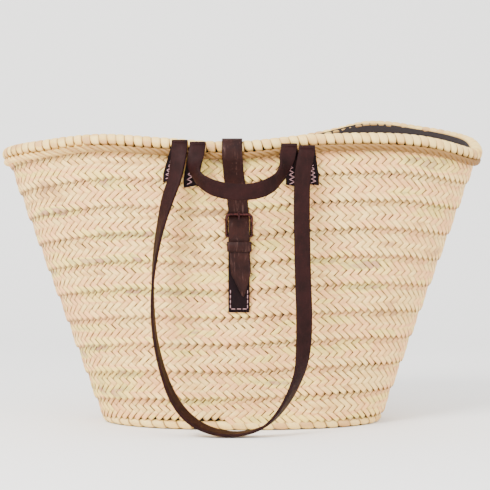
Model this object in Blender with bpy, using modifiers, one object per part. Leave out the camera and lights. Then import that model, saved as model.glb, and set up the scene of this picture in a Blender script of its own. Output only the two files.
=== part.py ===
"""Woven market basket with two pairs of leather handles and a buckled closure strap.

Units are metres, +Z is up, +X runs along the basket's length and the front faces -Y.
The origin is the middle of the underside, where the basket rests.
"""

import math

import bmesh
import bpy
import numpy as np
from mathutils import Matrix, Vector

# Driving dimensions of the woven body.
BASE_HALF_LENGTH = 0.160
BASE_HALF_DEPTH = 0.0965
LENGTH_FLARE = 0.370
DEPTH_FLARE = 0.045
OVAL_EXPONENT = 2.2
WALL_FOOT = 0.0105
WALL_THICKNESS = 0.005
WALL_BELOW_RIM = 0.0110
MAT_THICKNESS = 0.006
ROLL_RADIUS = 0.005
ROLL_INSET = 0.003
TOUCH_GAP = 0.0003

# Height of the rim's top round the basket: degrees from +X towards +Y, then metres.
RIM_TOP = (
    (-180, 0.3180), (-146, 0.3220), (-122, 0.3275), (-106, 0.3225), (-92, 0.3180),
    (-76, 0.3260), (-52, 0.3300), (-13, 0.3165), (15, 0.3360), (41, 0.3520),
    (59, 0.3610), (72, 0.3490), (92, 0.3320), (130, 0.3240),
)

# Rim section: distance out from the wall's face, and height from the rim's top.
CORE_PLACE = (-0.0041, -0.0058)
CORE_RADIUS = 0.0027
ROPE_PLACE = (0.0042, -0.0164)
ROPE_RADIUS = 0.0036
WRAP_THICKNESS = 0.0015
WRAP_PROFILE = (
    (0.00105, -0.0125), (0.00105, -0.0060), (0.0, -0.0022), (-0.0038, -0.00075),
    (-0.0076, -0.0022), (-0.0093, -0.0060), (-0.0093, -0.0150),
)
LINING_THICKNESS = 0.0012
LINING_INSET = 0.0065
LINING_BELOW_RIM = 0.0120
LINING_FLOOR = 0.0125

# Leather handles.
HANDLE_WIDTH = 0.0175
HANDLE_THICKNESS = 0.003
FOLD_RADIUS = 0.0022
FOLD_CLEARANCE = 0.0040
FOLD_OUT = 0.0118
TAB_SEWN_LENGTH = 0.036
# A tab lies flat on the wall, leans out over the rope, and ends level under the fold.
TAB_FLAT_LENGTH = 0.011
TAB_FLAT_LIFT = 0.0006
TAB_LEAN_RISE = 0.009
TAB_LEAN_OUT = 0.0035
TAB_ROPE_DROP = 0.007
TAB_TILT = 0.25
ZIGZAG_START = 0.08
ZIGZAG_SHARE = 0.74
ROUTE_STEPS = 3

# Front folds: where each strap turns over, as X and the height of its hinge line.
FRONT_LONG_LEFT = (-0.0675, 0.3150)
FRONT_LONG_RIGHT = (0.0705, 0.3090)
FRONT_SHORT_LEFT = (-0.0480, 0.3130)
FRONT_SHORT_RIGHT = (0.0510, 0.3110)
# Rear folds.
REAR_LONG_LEFT = (-0.0690, 0.3190)
REAR_LONG_RIGHT = (0.0730, 0.3390)
REAR_SHORT_LEFT = (-0.0495, 0.3220)
REAR_SHORT_RIGHT = (0.0530, 0.3360)

# Routes of the front loops: X, Y, Z and the degrees that the strap's face is turned outwards.
FRONT_LONG_ROUTE = (
    (-0.0695, -0.1290, 0.2950, 6), (-0.0725, -0.1310, 0.2750, 22), (-0.0790, -0.1325, 0.2550, 42),
    (-0.0870, -0.1350, 0.2290, 60), (-0.0925, -0.1365, 0.2020, 72), (-0.0965, -0.1380, 0.1700, 84),
    (-0.0970, -0.1400, 0.1350, 92), (-0.0940, -0.1430, 0.1020, 96), (-0.0855, -0.1460, 0.0700, 102),
    (-0.0735, -0.1480, 0.0415, 110), (-0.0570, -0.1490, 0.0225, 112), (-0.0350, -0.1490, 0.0108, 104),
    (-0.0080, -0.1490, 0.0068, 95), (0.0160, -0.1490, 0.0110, 86), (0.0330, -0.1490, 0.0215, 78),
    (0.0490, -0.1480, 0.0420, 66), (0.0610, -0.1460, 0.0680, 52), (0.0655, -0.1430, 0.0950, 26),
    (0.0665, -0.1400, 0.1300, 5), (0.0655, -0.1370, 0.1650, 0), (0.0647, -0.1345, 0.2050, 0),
    (0.0643, -0.1320, 0.2450, 0), (0.0655, -0.1290, 0.2800, 0),
)
FRONT_SHORT_ROUTE = (
    (-0.0496, -0.1290, 0.3020, 0), (-0.0508, -0.1330, 0.2920, 20), (-0.0495, -0.1380, 0.2820, 52),
    (-0.0440, -0.1430, 0.2735, 48), (-0.0320, -0.1480, 0.2660, 28), (-0.0170, -0.1510, 0.2617, 8),
    (0.0000, -0.1520, 0.2603, 0), (0.0170, -0.1505, 0.2625, 8), (0.0300, -0.1470, 0.2680, 30),
    (0.0390, -0.1420, 0.2760, 55), (0.0450, -0.1360, 0.2870, 52), (0.0485, -0.1300, 0.2990, 20),
)
# Rear loops hang as plain arcs: how far they lean out, their bottom's radius and their legs' turn.
HANGING_LEAN = 0.018
HANGING_TURN_RADIUS = 0.075
LEG_TURN = 60
REAR_LONG_HALF_SPREAD = 0.082
REAR_LONG_BOTTOM = 0.0070
REAR_SHORT_HALF_SPREAD = 0.0485
REAR_SHORT_BOTTOM = 0.2660

# Closure strap, its buckle and the short strap that carries the buckle.
STRAP_WIDTH = 0.0224
STRAP_THICKNESS = 0.002
BUCKLE_X = -0.0033
BUCKLE_STRAP_WIDTH = 0.0234
BUCKLE_STRAP_END = 0.1310
WIRE_RADIUS = 0.0016
BUCKLE_SPAN = 0.0276
BUCKLE_CORNER = 0.0038
HEEL_CORNER = 0.0020
HEEL_BAR = (0.0042, 0.2143)
FAR_BAR = (0.0046, 0.2380)
PRONG_RADIUS = 0.0011
PRONG_EYE_RADIUS = 0.0032
KEEPER_HEIGHT = 0.0110
KEEPER_Z = 0.2026
KEEPER_WIDTH = 0.0264
KEEPER_WALL = 0.0012
KEEPER_DEPTHS = (0.0026, 0.0104)
STRAP_HOLE_RADIUS = 0.0016
STRAP_HOLES = (0.2525, 0.2685)
PRONG_SLOT = (0.0034, 0.0160)
PRONG_SLOT_Z = 0.2296
PRONG_NOTCH = (0.0034, 0.0132, 0.0150)

# Thread.
THREAD_RADIUS = 0.0004
SEAM_LIFT = 0.0009
ZIGZAG_STEPS = 8
ZIGZAG_REACH = 0.0028

AROUND = 64


def clear_scene():
    """Remove every object of the open file."""
    for item in list(bpy.data.objects):
        bpy.data.objects.remove(item, do_unlink=True)


def new_collection(name):
    """Make a collection and link it to the scene."""
    collection = bpy.data.collections.new(name)
    bpy.context.scene.collection.children.link(collection)
    return collection


def principled(name, colour, roughness, metallic=0.0):
    """Make a Principled material of one colour."""
    material = bpy.data.materials.new(name)
    material.use_nodes = True
    shader = material.node_tree.nodes["Principled BSDF"]
    shader.inputs["Base Color"].default_value = (*colour, 1.0)
    shader.inputs["Roughness"].default_value = roughness
    shader.inputs["Metallic"].default_value = metallic
    return material


def add_object(name, data, material, collection):
    """Put a mesh or curve in the scene as one named sub-part."""
    item = bpy.data.objects.new(name, data)
    collection.objects.link(item)
    data.materials.append(material)
    return item


def move_origin(item, place):
    """Put an object's origin on a point, such as one on its joint's axis."""
    shift = Matrix.Translation(-Vector(place))
    item.data.transform(shift)
    item.location = place


# ---------------------------------------------------------------------------
# The oval body
# ---------------------------------------------------------------------------


def oval_point(angle, half_length, half_depth):
    """Point of a superellipse at an angle in radians."""
    power = 2.0 / OVAL_EXPONENT
    cosine, sine = math.cos(angle), math.sin(angle)
    x = half_length * math.copysign(abs(cosine) ** power, cosine)
    y = half_depth * math.copysign(abs(sine) ** power, sine)
    return x, y


def body_point(angle, height, out=0.0):
    """Point on the wall's outer face, or a distance out from it."""
    half_length = BASE_HALF_LENGTH + LENGTH_FLARE * height + out
    half_depth = BASE_HALF_DEPTH + DEPTH_FLARE * height + out
    x, y = oval_point(angle, half_length, half_depth)
    return Vector((x, y, height))


def rim_top(angle):
    """Height of the rim's top at an angle, on a smooth closed curve through RIM_TOP."""
    degrees = (math.degrees(angle) + 180.0) % 360.0 - 180.0
    count = len(RIM_TOP)
    index = max(i for i in range(count) if RIM_TOP[i][0] <= degrees)
    around = [RIM_TOP[(index + k) % count] for k in (-1, 0, 1, 2)]
    places = [a + 360 * ((index + k) // count) for k, (a, _) in zip((-1, 0, 1, 2), around)]
    heights = [h for _, h in around]
    width = places[2] - places[1]
    u = (degrees - places[1]) / width
    slope_start = (heights[2] - heights[0]) / (places[2] - places[0]) * width
    slope_end = (heights[3] - heights[1]) / (places[3] - places[1]) * width
    start = (1 + 2 * u) * (1 - u) ** 2 * heights[1] + u * (1 - u) ** 2 * slope_start
    end = u * u * (3 - 2 * u) * heights[2] + u * u * (u - 1) * slope_end
    return start + end


def angles():
    """Angles of the stations round the basket."""
    return [math.tau * i / AROUND for i in range(AROUND)]


def rim_point(angle, place):
    """Point of the rim's section: place holds the distance out and the height from the top."""
    out, drop = place
    return body_point(angle, rim_top(angle) + drop, out)


def open_rings(rings, close_bottom=False):
    """Mesh of an open surface through rings of points, from the lowest ring up."""
    form = bmesh.new()
    rows = [[form.verts.new(point) for point in ring] for ring in rings]
    for lower, upper in zip(rows, rows[1:]):
        for i in range(len(lower)):
            j = (i + 1) % len(lower)
            form.faces.new((lower[i], lower[j], upper[j], upper[i]))
    if close_bottom:
        form.faces.new(list(reversed(rows[0])))
    mesh = bpy.data.meshes.new("rings")
    form.to_mesh(mesh)
    form.free()
    return mesh


def solidify(item, thickness, offset):
    """Give an open surface its thickness."""
    shell = item.modifiers.new("thickness", "SOLIDIFY")
    shell.thickness = thickness
    shell.offset = offset
    shell.use_even_offset = True
    return shell


def make_wall(parts, straw):
    """Braided wall, a flared oval shell from the base edge up to the rim."""
    levels = (0.0, 0.12, 0.35, 0.6, 0.82, 1.0)
    rings = []
    for level in levels:
        ring = []
        for angle in angles():
            top = rim_top(angle) - WALL_BELOW_RIM
            ring.append(body_point(angle, WALL_FOOT + (top - WALL_FOOT) * level))
        rings.append(ring)
    wall = add_object("wall_braid", open_rings(rings), straw, parts)
    solidify(wall, WALL_THICKNESS, -1.0)


def make_base(parts, straw, edge_straw):
    """Flat oval mat with the roll that edges it."""
    inset = ROLL_INSET + ROLL_RADIUS + 0.0005
    outline = []
    for angle in angles():
        x, y = oval_point(angle, BASE_HALF_LENGTH - inset, BASE_HALF_DEPTH - inset)
        outline.append(Vector((x, y, 0.0)))
    form = bmesh.new()
    face = form.faces.new([form.verts.new(point) for point in outline])
    grown = bmesh.ops.extrude_face_region(form, geom=[face])
    top = [v for v in grown["geom"] if isinstance(v, bmesh.types.BMVert)]
    bmesh.ops.translate(form, verts=top, vec=(0.0, 0.0, MAT_THICKNESS))
    bmesh.ops.recalc_face_normals(form, faces=form.faces)
    mesh = bpy.data.meshes.new("base_mat")
    form.to_mesh(mesh)
    form.free()
    add_object("base_mat", mesh, straw, parts)
    middle = [body_point(angle, 0.0, -ROLL_INSET) for angle in angles()]
    middle = [Vector((p.x, p.y, ROLL_RADIUS)) for p in middle]
    add_object("base_edge_roll", tube_curve([middle], ROLL_RADIUS, 2, True), edge_straw, parts)


def make_rim(parts, straw, rope_straw, core_straw):
    """Rim: a palm-fibre core, the leaf wrap over it and the twisted rope under it."""
    core = [rim_point(angle, CORE_PLACE) for angle in angles()]
    add_object("rim_core", tube_curve([core], CORE_RADIUS, 1, True), core_straw, parts)
    rope = [rim_point(angle, ROPE_PLACE) for angle in angles()]
    add_object("rim_rope", tube_curve([rope], ROPE_RADIUS, 2, True), rope_straw, parts)
    rings = [[rim_point(angle, place) for angle in angles()] for place in WRAP_PROFILE]
    wrap = add_object("rim_wrap", open_rings(rings), straw, parts)
    solidify(wrap, WRAP_THICKNESS, 0.0)


def make_lining(parts, cotton):
    """Cotton lining, an open bag inside the wall."""
    levels = (0.0, 0.3, 0.65, 1.0)
    rings = []
    for level in levels:
        ring = []
        for angle in angles():
            top = rim_top(angle) - LINING_BELOW_RIM
            height = LINING_FLOOR + (top - LINING_FLOOR) * level
            ring.append(body_point(angle, height, -LINING_INSET))
        rings.append(ring)
    lining = add_object("lining", open_rings(rings, close_bottom=True), cotton, parts)
    solidify(lining, LINING_THICKNESS, -1.0)


# ---------------------------------------------------------------------------
# Straps and wires
# ---------------------------------------------------------------------------


def tube_curve(lines, radius, resolution, cyclic=False):
    """Curve of one or more round wires along lines of points."""
    curve = bpy.data.curves.new("wire", "CURVE")
    curve.dimensions = "3D"
    curve.bevel_depth = radius
    curve.bevel_resolution = resolution
    curve.use_fill_caps = not cyclic
    for line in lines:
        spline = curve.splines.new("POLY")
        spline.points.add(len(line) - 1)
        for point, place in zip(spline.points, line):
            point.co = (*place, 1.0)
        spline.use_cyclic_u = cyclic
    return curve


def smooth_line(points, steps):
    """Catmull-Rom curve through rows of numbers, with a number of steps to each span."""
    rows = [np.array(row, dtype=float) for row in points]
    rows = [2 * rows[0] - rows[1]] + rows + [2 * rows[-1] - rows[-2]]
    line = []
    for a, b, c, d in zip(rows, rows[1:], rows[2:], rows[3:]):
        for step in range(steps):
            u = step / steps
            line.append(0.5 * (2 * b + (c - a) * u + (2 * a - 5 * b + 4 * c - d) * u ** 2
                               + (3 * b - a - 3 * c + d) * u ** 3))
    line.append(rows[-2])
    return line


def ribbon_mesh(stations):
    """Open strap surface. A station holds a middle point and the half-width as a vector."""
    form = bmesh.new()
    rows = [(form.verts.new(point - half), form.verts.new(point + half)) for point, half in stations]
    for (a, b), (c, d) in zip(rows, rows[1:]):
        form.faces.new((a, b, d, c))
    mesh = bpy.data.meshes.new("ribbon")
    form.to_mesh(mesh)
    form.free()
    return mesh


def add_strap(name, stations, thickness, material, parts):
    """Strap of one thickness along stations."""
    strap = add_object(name, ribbon_mesh(stations), material, parts)
    solidify(strap, thickness, 0.0)
    return strap


def fold_arc(fold, depth, side, reverse=False):
    """Half turn of a handle over its hinge line, from the tab's side to the free side."""
    x, height = fold
    centre = Vector((x, side * depth, height))
    half = Vector((HANDLE_WIDTH / 2, 0.0, 0.0))
    arc = []
    for step in range(5):
        turn = math.pi * step / 4
        offset = Vector((0.0, -side * math.cos(turn), math.sin(turn))) * FOLD_RADIUS
        arc.append((centre + offset, -half if reverse else half))
    return arc[::-1] if reverse else arc


def fold_depth(left, right):
    """Distance of a handle's hinge line from the basket's middle plane."""
    return wall_depth(max(left[1], right[1])) + FOLD_OUT


def turned_stations(rows, side):
    """Stations of a strap whose face starts outwards and turns about its own run."""
    points = [Vector(row[:3]) for row in rows]
    stations = []
    for i in range(1, len(rows) - 1):
        run = (points[i + 1] - points[i - 1]).normalized()
        across = Vector((0.0, side, 0.0)).cross(run).normalized()
        turn = Matrix.Rotation(-side * math.radians(rows[i][3]), 3, run)
        stations.append((points[i], turn @ across * HANDLE_WIDTH / 2))
    return stations


def hanging_route(left, right, half_spread, bottom, side):
    """Route of a loop that hangs as a plain arc from two folds."""
    middle = (left[0] + right[0]) / 2
    depth = side * (fold_depth(left, right) + FOLD_RADIUS)
    lean = side * HANGING_LEAN
    turn_radius = min(half_spread, HANGING_TURN_RADIUS)
    shoulder = bottom + turn_radius
    rows = []
    for fold, sign in ((left, -1), (right, 1)):
        leg = []
        for share in (0.12, 0.4, 0.7):
            height = fold[1] + (shoulder - fold[1]) * share
            x = fold[0] + (middle + sign * half_spread - fold[0]) * share
            leg.append((x, depth + lean * share, height, LEG_TURN * share))
        rows.append(leg)
    arc = []
    for step in range(9):
        angle = math.pi * step / 8
        x = middle - half_spread * math.cos(angle)
        turn = LEG_TURN + (90 - LEG_TURN) * math.sin(angle)
        arc.append((x, depth + lean, shoulder - turn_radius * math.sin(angle), turn))
    return rows[0] + arc + rows[1][::-1]


def tab_stations(fold, depth, side, foot_shift, slope):
    """Stitched end of a handle, from its foot on the wall up over the rim's rope.

    The top edge is level, and clear of the fold as it turns about a sloping hinge line.
    """
    x, height = fold
    top = height - FOLD_CLEARANCE - HANDLE_WIDTH * abs(slope)
    foot = top - TAB_SEWN_LENGTH
    out_top = depth - FOLD_RADIUS
    half_thick = HANDLE_THICKNESS / 2 + TOUCH_GAP
    rope_height = top - TAB_ROPE_DROP
    places = (
        (foot, wall_depth(foot) + half_thick),
        (foot + TAB_FLAT_LENGTH, wall_depth(foot) + half_thick + TAB_FLAT_LIFT),
        (rope_height - TAB_LEAN_RISE, out_top - TAB_LEAN_OUT), (rope_height, out_top), (top, out_top),
    )
    stations = []
    for level, out in places:
        share = (top - level) / TAB_SEWN_LENGTH
        point = Vector((x + foot_shift * share, side * out, level))
        half = Vector((HANDLE_WIDTH / 2, 0.0, -foot_shift * TAB_TILT * min(1.0, share / TAB_TILT)))
        stations.append((point, half))
    return stations


def wall_depth(height):
    """Distance of the wall's outer face from the middle plane, at the middle of a long side."""
    return BASE_HALF_DEPTH + DEPTH_FLARE * height


def zigzag(stations, side, steps):
    """Zigzag seam up the sewn part of a tab."""
    foot, knee = stations[0][0], stations[2][0]
    line = []
    for step in range(steps + 1):
        share = ZIGZAG_START + ZIGZAG_SHARE * step / steps
        level = foot.z + (knee.z - foot.z) * share
        depth = tab_depth_at(stations, level) + HANDLE_THICKNESS / 2 + THREAD_RADIUS + SEAM_LIFT
        sway = ZIGZAG_REACH * (1 if step % 2 else -1)
        line.append(Vector((foot.x + (knee.x - foot.x) * share + sway, side * depth, level)))
    return line


def tab_depth_at(stations, level):
    """Distance of a tab's middle from the basket's middle plane at a height."""
    levels = [point.z for point, _ in stations]
    depths = [abs(point.y) for point, _ in stations]
    return float(np.interp(level, levels, depths))


def make_handle(name, left, right, route, side, leather, parts, foot_shift):
    """One handle: two stitched tabs and the loop that swings on their folds.

    Returns the names and lines of its two zigzag seams.
    """
    seams = []
    depth = fold_depth(left, right)
    slope = (right[1] - left[1]) / (right[0] - left[0])
    for end, fold, shift in (("left", left, -foot_shift), ("right", right, foot_shift)):
        stations = tab_stations(fold, depth, side, shift, slope)
        add_strap(f"{name}_tab_{end}", stations, HANDLE_THICKNESS, leather, parts)
        seams.append((f"{name}_stitches_{end}", zigzag(stations, side, ZIGZAG_STEPS)))
    free = side * (depth + FOLD_RADIUS)
    ends = [(x, free, height, 0) for x, height in (left, right)]
    beyond = [np.array((x, free, height + FOLD_CLEARANCE, 0)) for x, height in (left, right)]
    line = smooth_line([ends[0], *route, ends[1]], ROUTE_STEPS)
    stations = turned_stations([beyond[0], *line, beyond[1]], side)
    arc_left = fold_arc(left, depth, side)
    arc_right = fold_arc(right, depth, side, reverse=True)
    if side > 0:
        arc_left = [(point, -half) for point, half in arc_left]
        arc_right = [(point, -half) for point, half in arc_right]
    stations = arc_left[:-1] + stations + arc_right[1:]
    loop = add_strap(f"{name}_loop", stations, HANDLE_THICKNESS, leather, parts)
    move_origin(loop, ((left[0] + right[0]) / 2, side * depth, (left[1] + right[1]) / 2))
    return seams


def strap_stations(rows, width):
    """Stations of a strap that runs up and down: X, distance from the middle plane, Z, width share."""
    points = [Vector((x, y, z)) for x, y, z, _ in rows]
    stations = []
    for i, row in enumerate(rows):
        run = points[min(i + 1, len(rows) - 1)] - points[max(i - 1, 0)]
        run.normalize()
        across = Vector((1.0, 0.0, 0.0))
        across = (across - run * across.dot(run)).normalized()
        stations.append((points[i], across * width / 2 * row[3]))
    return stations


def front_row(x, out, height, share=1.0):
    """Row of a strap on the front wall: its distance out from the wall's face becomes Y."""
    return (x, -(wall_depth(height) + out), height, share)


def closure_rows():
    """Route of the closure strap, from its sewn end on the rear wall to its pointed tip."""
    rear = [(-0.0120, wall_depth(z) + out, z, 1.0) for z, out in (
        (0.2600, 0.0014), (0.2720, 0.0016), (0.2860, 0.0022), (0.2990, 0.0070),
        (0.3100, 0.0098), (0.3200, 0.0094), (0.3290, 0.0068))]
    over = [
        (-0.0120, 0.1130, 0.3340, 1.0), (-0.0120, 0.1050, 0.3345, 1.0), (-0.0118, 0.0900, 0.3320, 1.0),
        (-0.0115, 0.0600, 0.3270, 1.0), (-0.0112, 0.0200, 0.3225, 1.0), (-0.0110, -0.0300, 0.3195, 1.0),
        (-0.0108, -0.0800, 0.3185, 1.0), (-0.0108, -0.0970, 0.3192, 1.0), (-0.0108, -0.1070, 0.3200, 1.0),
    ]
    front = [front_row(*row) for row in (
        (-0.0108, 0.0030, 0.3180), (-0.0108, 0.0072, 0.3120), (-0.0108, 0.0095, 0.3050),
        (-0.0104, 0.0094, 0.2985), (-0.0098, 0.0060, 0.2900), (-0.0088, 0.0026, 0.2800),
        (-0.0070, 0.0015, 0.2660), (-0.0050, 0.0014, 0.2530), (-0.0037, 0.0014, 0.2388),
        (-0.0036, 0.0024, 0.2358), (-0.0035, 0.0069, 0.2316), (-0.0034, 0.0086, 0.2266),
        (-0.0034, 0.0094, 0.2230), (-0.0033, 0.0096, 0.2150), (-0.0033, 0.0093, 0.2122),
        (-0.0033, 0.0085, 0.2098), (-0.0032, 0.0079, 0.2078),
        (-0.0030, 0.0076, 0.2034), (-0.0026, 0.0076, 0.1960), (-0.0018, 0.0070, 0.1830),
        (-0.0008, 0.0065, 0.1720), (0.0002, 0.0062, 0.1620, 0.66), (0.0010, 0.0059, 0.1530, 0.30),
        (0.0013, 0.0058, 0.1490, 0.06))]
    return rear + over + front


def buckle_strap_rows():
    """Route of the folded strap that holds the buckle: up behind the bar, over it and down."""
    out, height = HEEL_BAR
    radius = WIRE_RADIUS + TOUCH_GAP + STRAP_THICKNESS / 2
    rows = [(0.0013, BUCKLE_STRAP_END), (0.0013, 0.1600), (0.0013, 0.1950), (0.0013, height)]
    for step in range(1, 6):
        turn = math.pi * step / 6
        rows.append((out - radius * math.cos(turn), height + radius * math.sin(turn)))
    rows += [(out + radius, height), (0.0066, 0.2122), (0.0057, 0.2100), (0.0053, 0.2080), (0.0053, 0.1960),
             (0.0042, 0.1860), (0.0037, 0.1620), (0.0037, BUCKLE_STRAP_END)]
    return [front_row(BUCKLE_X, *row) for row in rows]


def add_cutter(name, mesh_form, cutters):
    """Put a cutting solid in the cutters' collection."""
    mesh = bpy.data.meshes.new(name)
    mesh_form.to_mesh(mesh)
    mesh_form.free()
    cutter = bpy.data.objects.new(name, mesh)
    cutters.objects.link(cutter)
    cutter.hide_render = True
    cutter.display_type = "WIRE"
    return cutter


def cut(item, cutter):
    """Cut one solid from another."""
    boolean = item.modifiers.new("cut", "BOOLEAN")
    boolean.operation = "DIFFERENCE"
    boolean.solver = "EXACT"
    boolean.object = cutter


def hole_cutter(name, x, height, cutters):
    """Round punch through the closure strap at a height."""
    form = bmesh.new()
    bmesh.ops.create_cone(form, cap_ends=True, segments=12, radius1=STRAP_HOLE_RADIUS,
                          radius2=STRAP_HOLE_RADIUS, depth=0.008)
    bmesh.ops.rotate(form, verts=form.verts, cent=(0, 0, 0), matrix=Matrix.Rotation(math.pi / 2, 3, "X"))
    bmesh.ops.translate(form, verts=form.verts, vec=(x, -wall_depth(height) - 0.0014, height))
    return add_cutter(name, form, cutters)


def box_cutter(name, size, place, cutters):
    """Box-shaped punch."""
    form = bmesh.new()
    bmesh.ops.create_cube(form, size=1.0)
    bmesh.ops.scale(form, verts=form.verts, vec=size)
    bmesh.ops.translate(form, verts=form.verts, vec=place)
    return add_cutter(name, form, cutters)


def make_closure(parts, cutters, leather, lower_leather):
    """Closure strap with its punched holes, and the folded strap that carries the buckle."""
    strap = add_strap("closure_strap", strap_stations(closure_rows(), STRAP_WIDTH),
                      STRAP_THICKNESS, leather, parts)
    for number, height in enumerate(STRAP_HOLES):
        x = -0.0050 - 0.14 * (height - STRAP_HOLES[0])
        cut(strap, hole_cutter(f"punch_{number}", x, height, cutters))
    slot_place = (BUCKLE_X, -(wall_depth(PRONG_SLOT_Z) + 0.0055), PRONG_SLOT_Z)
    cut(strap, box_cutter("prong_slot", (PRONG_SLOT[0], 0.0180, PRONG_SLOT[1]), slot_place, cutters))
    lower = add_strap("buckle_strap", strap_stations(buckle_strap_rows(), BUCKLE_STRAP_WIDTH),
                      STRAP_THICKNESS, lower_leather, parts)
    out, height = HEEL_BAR
    place = (BUCKLE_X, -(wall_depth(height) + out + 0.0022), height + 0.0012)
    cut(lower, box_cutter("prong_notch", PRONG_NOTCH, place, cutters))


def make_buckle(parts, bronze):
    """Buckle frame and prong, both on the heel bar."""
    heel = Vector((BUCKLE_X, -(wall_depth(HEEL_BAR[1]) + HEEL_BAR[0]), HEEL_BAR[1]))
    far = Vector((BUCKLE_X, -(wall_depth(FAR_BAR[1]) + FAR_BAR[0]), FAR_BAR[1]))
    up = (far - heel).normalized()
    rise = (far - heel).length
    half = BUCKLE_SPAN / 2
    outline = []
    corners = ((half, 0, 0), (half, rise, 90), (-half, rise, 180), (-half, 0, 270))
    for x, level, start in corners:
        radius = HEEL_CORNER if level == 0 else BUCKLE_CORNER
        centre_x = x - math.copysign(radius, x)
        centre_level = level + (radius if level == 0 else -radius)
        for step in range(5):
            turn = math.radians(start - 90 + 90 * step / 4)
            across = centre_x + radius * math.cos(turn)
            along = centre_level + radius * math.sin(turn)
            outline.append(heel + Vector((across, 0.0, 0.0)) + up * along)
    frame = add_object("buckle_frame", tube_curve([outline], WIRE_RADIUS, 2, True), bronze, parts)
    move_origin(frame, heel)
    eye = []
    for step in range(7):
        turn = math.radians(-160 + 215 * step / 6)
        eye.append(heel + Vector((0.0, -math.cos(turn), math.sin(turn))) * PRONG_EYE_RADIUS)
    tip_out = FAR_BAR[0] + WIRE_RADIUS + PRONG_RADIUS + TOUCH_GAP
    tip = [Vector((BUCKLE_X, -(wall_depth(z) + out), z)) for out, z in (
        (0.0056, 0.2236), (tip_out - 0.0005, 0.2351), (tip_out, 0.2380), (tip_out - 0.0008, 0.2404))]
    prong = add_object("buckle_prong", tube_curve([eye + tip], PRONG_RADIUS, 1), bronze, parts)
    move_origin(prong, heel)


def make_keeper(parts, leather):
    """Leather loop that holds the strap's tip, sewn between the buckle strap's two layers."""
    inner, outer = KEEPER_DEPTHS
    half = KEEPER_WIDTH / 2
    form = bmesh.new()
    rows = []
    for z in (KEEPER_Z - KEEPER_HEIGHT / 2, KEEPER_Z + KEEPER_HEIGHT / 2):
        near, away = wall_depth(z) + inner, wall_depth(z) + outer
        ring = [(-half, near), (half, near), (half, away), (-half, away)]
        rows.append([form.verts.new((BUCKLE_X + x, -y, z)) for x, y in ring])
    for i in range(4):
        j = (i + 1) % 4
        form.faces.new((rows[0][j], rows[0][i], rows[1][i], rows[1][j]))
    bmesh.ops.recalc_face_normals(form, faces=form.faces)
    mesh = bpy.data.meshes.new("keeper_loop")
    form.to_mesh(mesh)
    form.free()
    keeper = add_object("keeper_loop", mesh, leather, parts)
    shell = solidify(keeper, KEEPER_WALL, -1.0)
    shell.use_rim = True


def edge_seam(centre_x, half_width, low, high, depth_at, side):
    """Line of thread down one edge of a strap's end, across it and up the other edge."""
    steps = 5
    levels = [high + (low - high) * step / steps for step in range(steps + 1)]
    left = [(centre_x - half_width, level) for level in levels]
    right = [(centre_x + half_width, level) for level in reversed(levels)]
    return [Vector((x, side * depth_at(level), level)) for x, level in left + right]


def make_seams(parts, thread, zigzags):
    """Thread nodes: a zigzag on each handle tab, and edge seams on the strap ends."""
    for name, line in zigzags:
        add_object(name, tube_curve([line], THREAD_RADIUS, 0), thread, parts)
    lift = STRAP_THICKNESS / 2 + THREAD_RADIUS + TOUCH_GAP
    lower = edge_seam(BUCKLE_X, 0.0094, 0.1345, 0.1560,
                      lambda z: wall_depth(z) + 0.0038 + lift, -1)
    add_object("buckle_strap_stitches", tube_curve([lower], THREAD_RADIUS, 0), thread, parts)
    rear = edge_seam(-0.0120, 0.0084, 0.2640, 0.2830,
                     lambda z: wall_depth(z) + 0.0023 + lift, 1)
    add_object("closure_anchor_stitches", tube_curve([rear], THREAD_RADIUS, 0), thread, parts)


def main():
    """Build every sub-part of the basket."""
    clear_scene()
    parts = new_collection("woven_market_basket")
    cutters = new_collection("cutters")
    straw = principled("palm_leaf", (0.80, 0.62, 0.42), 0.62)
    edge_straw = principled("edge_palm_leaf", (0.82, 0.66, 0.40), 0.62)
    core_straw = principled("palm_fibre", (0.62, 0.50, 0.33), 0.8)
    leather = principled("handle_leather", (0.055, 0.028, 0.025), 0.55)
    lower_leather = principled("strap_leather", (0.075, 0.042, 0.038), 0.5)
    cotton = principled("lining_cotton", (0.06, 0.035, 0.025), 0.9)
    bronze = principled("buckle_bronze", (0.06, 0.02, 0.022), 0.35, 0.9)
    thread = principled("thread", (0.38, 0.19, 0.21), 0.7)

    make_wall(parts, straw)
    make_base(parts, straw, edge_straw)
    make_rim(parts, straw, edge_straw, core_straw)
    make_lining(parts, cotton)
    seams = make_handle("front_long_handle", FRONT_LONG_LEFT, FRONT_LONG_RIGHT, FRONT_LONG_ROUTE, -1,
                        leather, parts, 0.0070)
    seams += make_handle("front_short_handle", FRONT_SHORT_LEFT, FRONT_SHORT_RIGHT,
                         FRONT_SHORT_ROUTE, -1, leather, parts, 0.0060)
    long_route = hanging_route(REAR_LONG_LEFT, REAR_LONG_RIGHT, REAR_LONG_HALF_SPREAD,
                               REAR_LONG_BOTTOM, 1)
    seams += make_handle("rear_long_handle", REAR_LONG_LEFT, REAR_LONG_RIGHT, long_route, 1,
                         leather, parts, 0.0050)
    short_route = hanging_route(REAR_SHORT_LEFT, REAR_SHORT_RIGHT, REAR_SHORT_HALF_SPREAD,
                                REAR_SHORT_BOTTOM, 1)
    seams += make_handle("rear_short_handle", REAR_SHORT_LEFT, REAR_SHORT_RIGHT, short_route, 1,
                         leather, parts, 0.0050)
    make_closure(parts, cutters, lower_leather, lower_leather)
    make_buckle(parts, bronze)
    make_keeper(parts, lower_leather)
    make_seams(parts, thread, seams)


main()
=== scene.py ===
"""Looks of a woven market basket.

A palm-leaf braid is sewn in a spiral into a flared oval body, with a wrapped rim, a cotton lining,
four leather handles and a buckled closure strap. Lengths are metres, +Z is up, +X runs along the
basket and its front faces -Y.
"""

import logging
import math
from dataclasses import dataclass
from enum import Enum
from typing import Iterable, NamedTuple, Sequence

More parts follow.
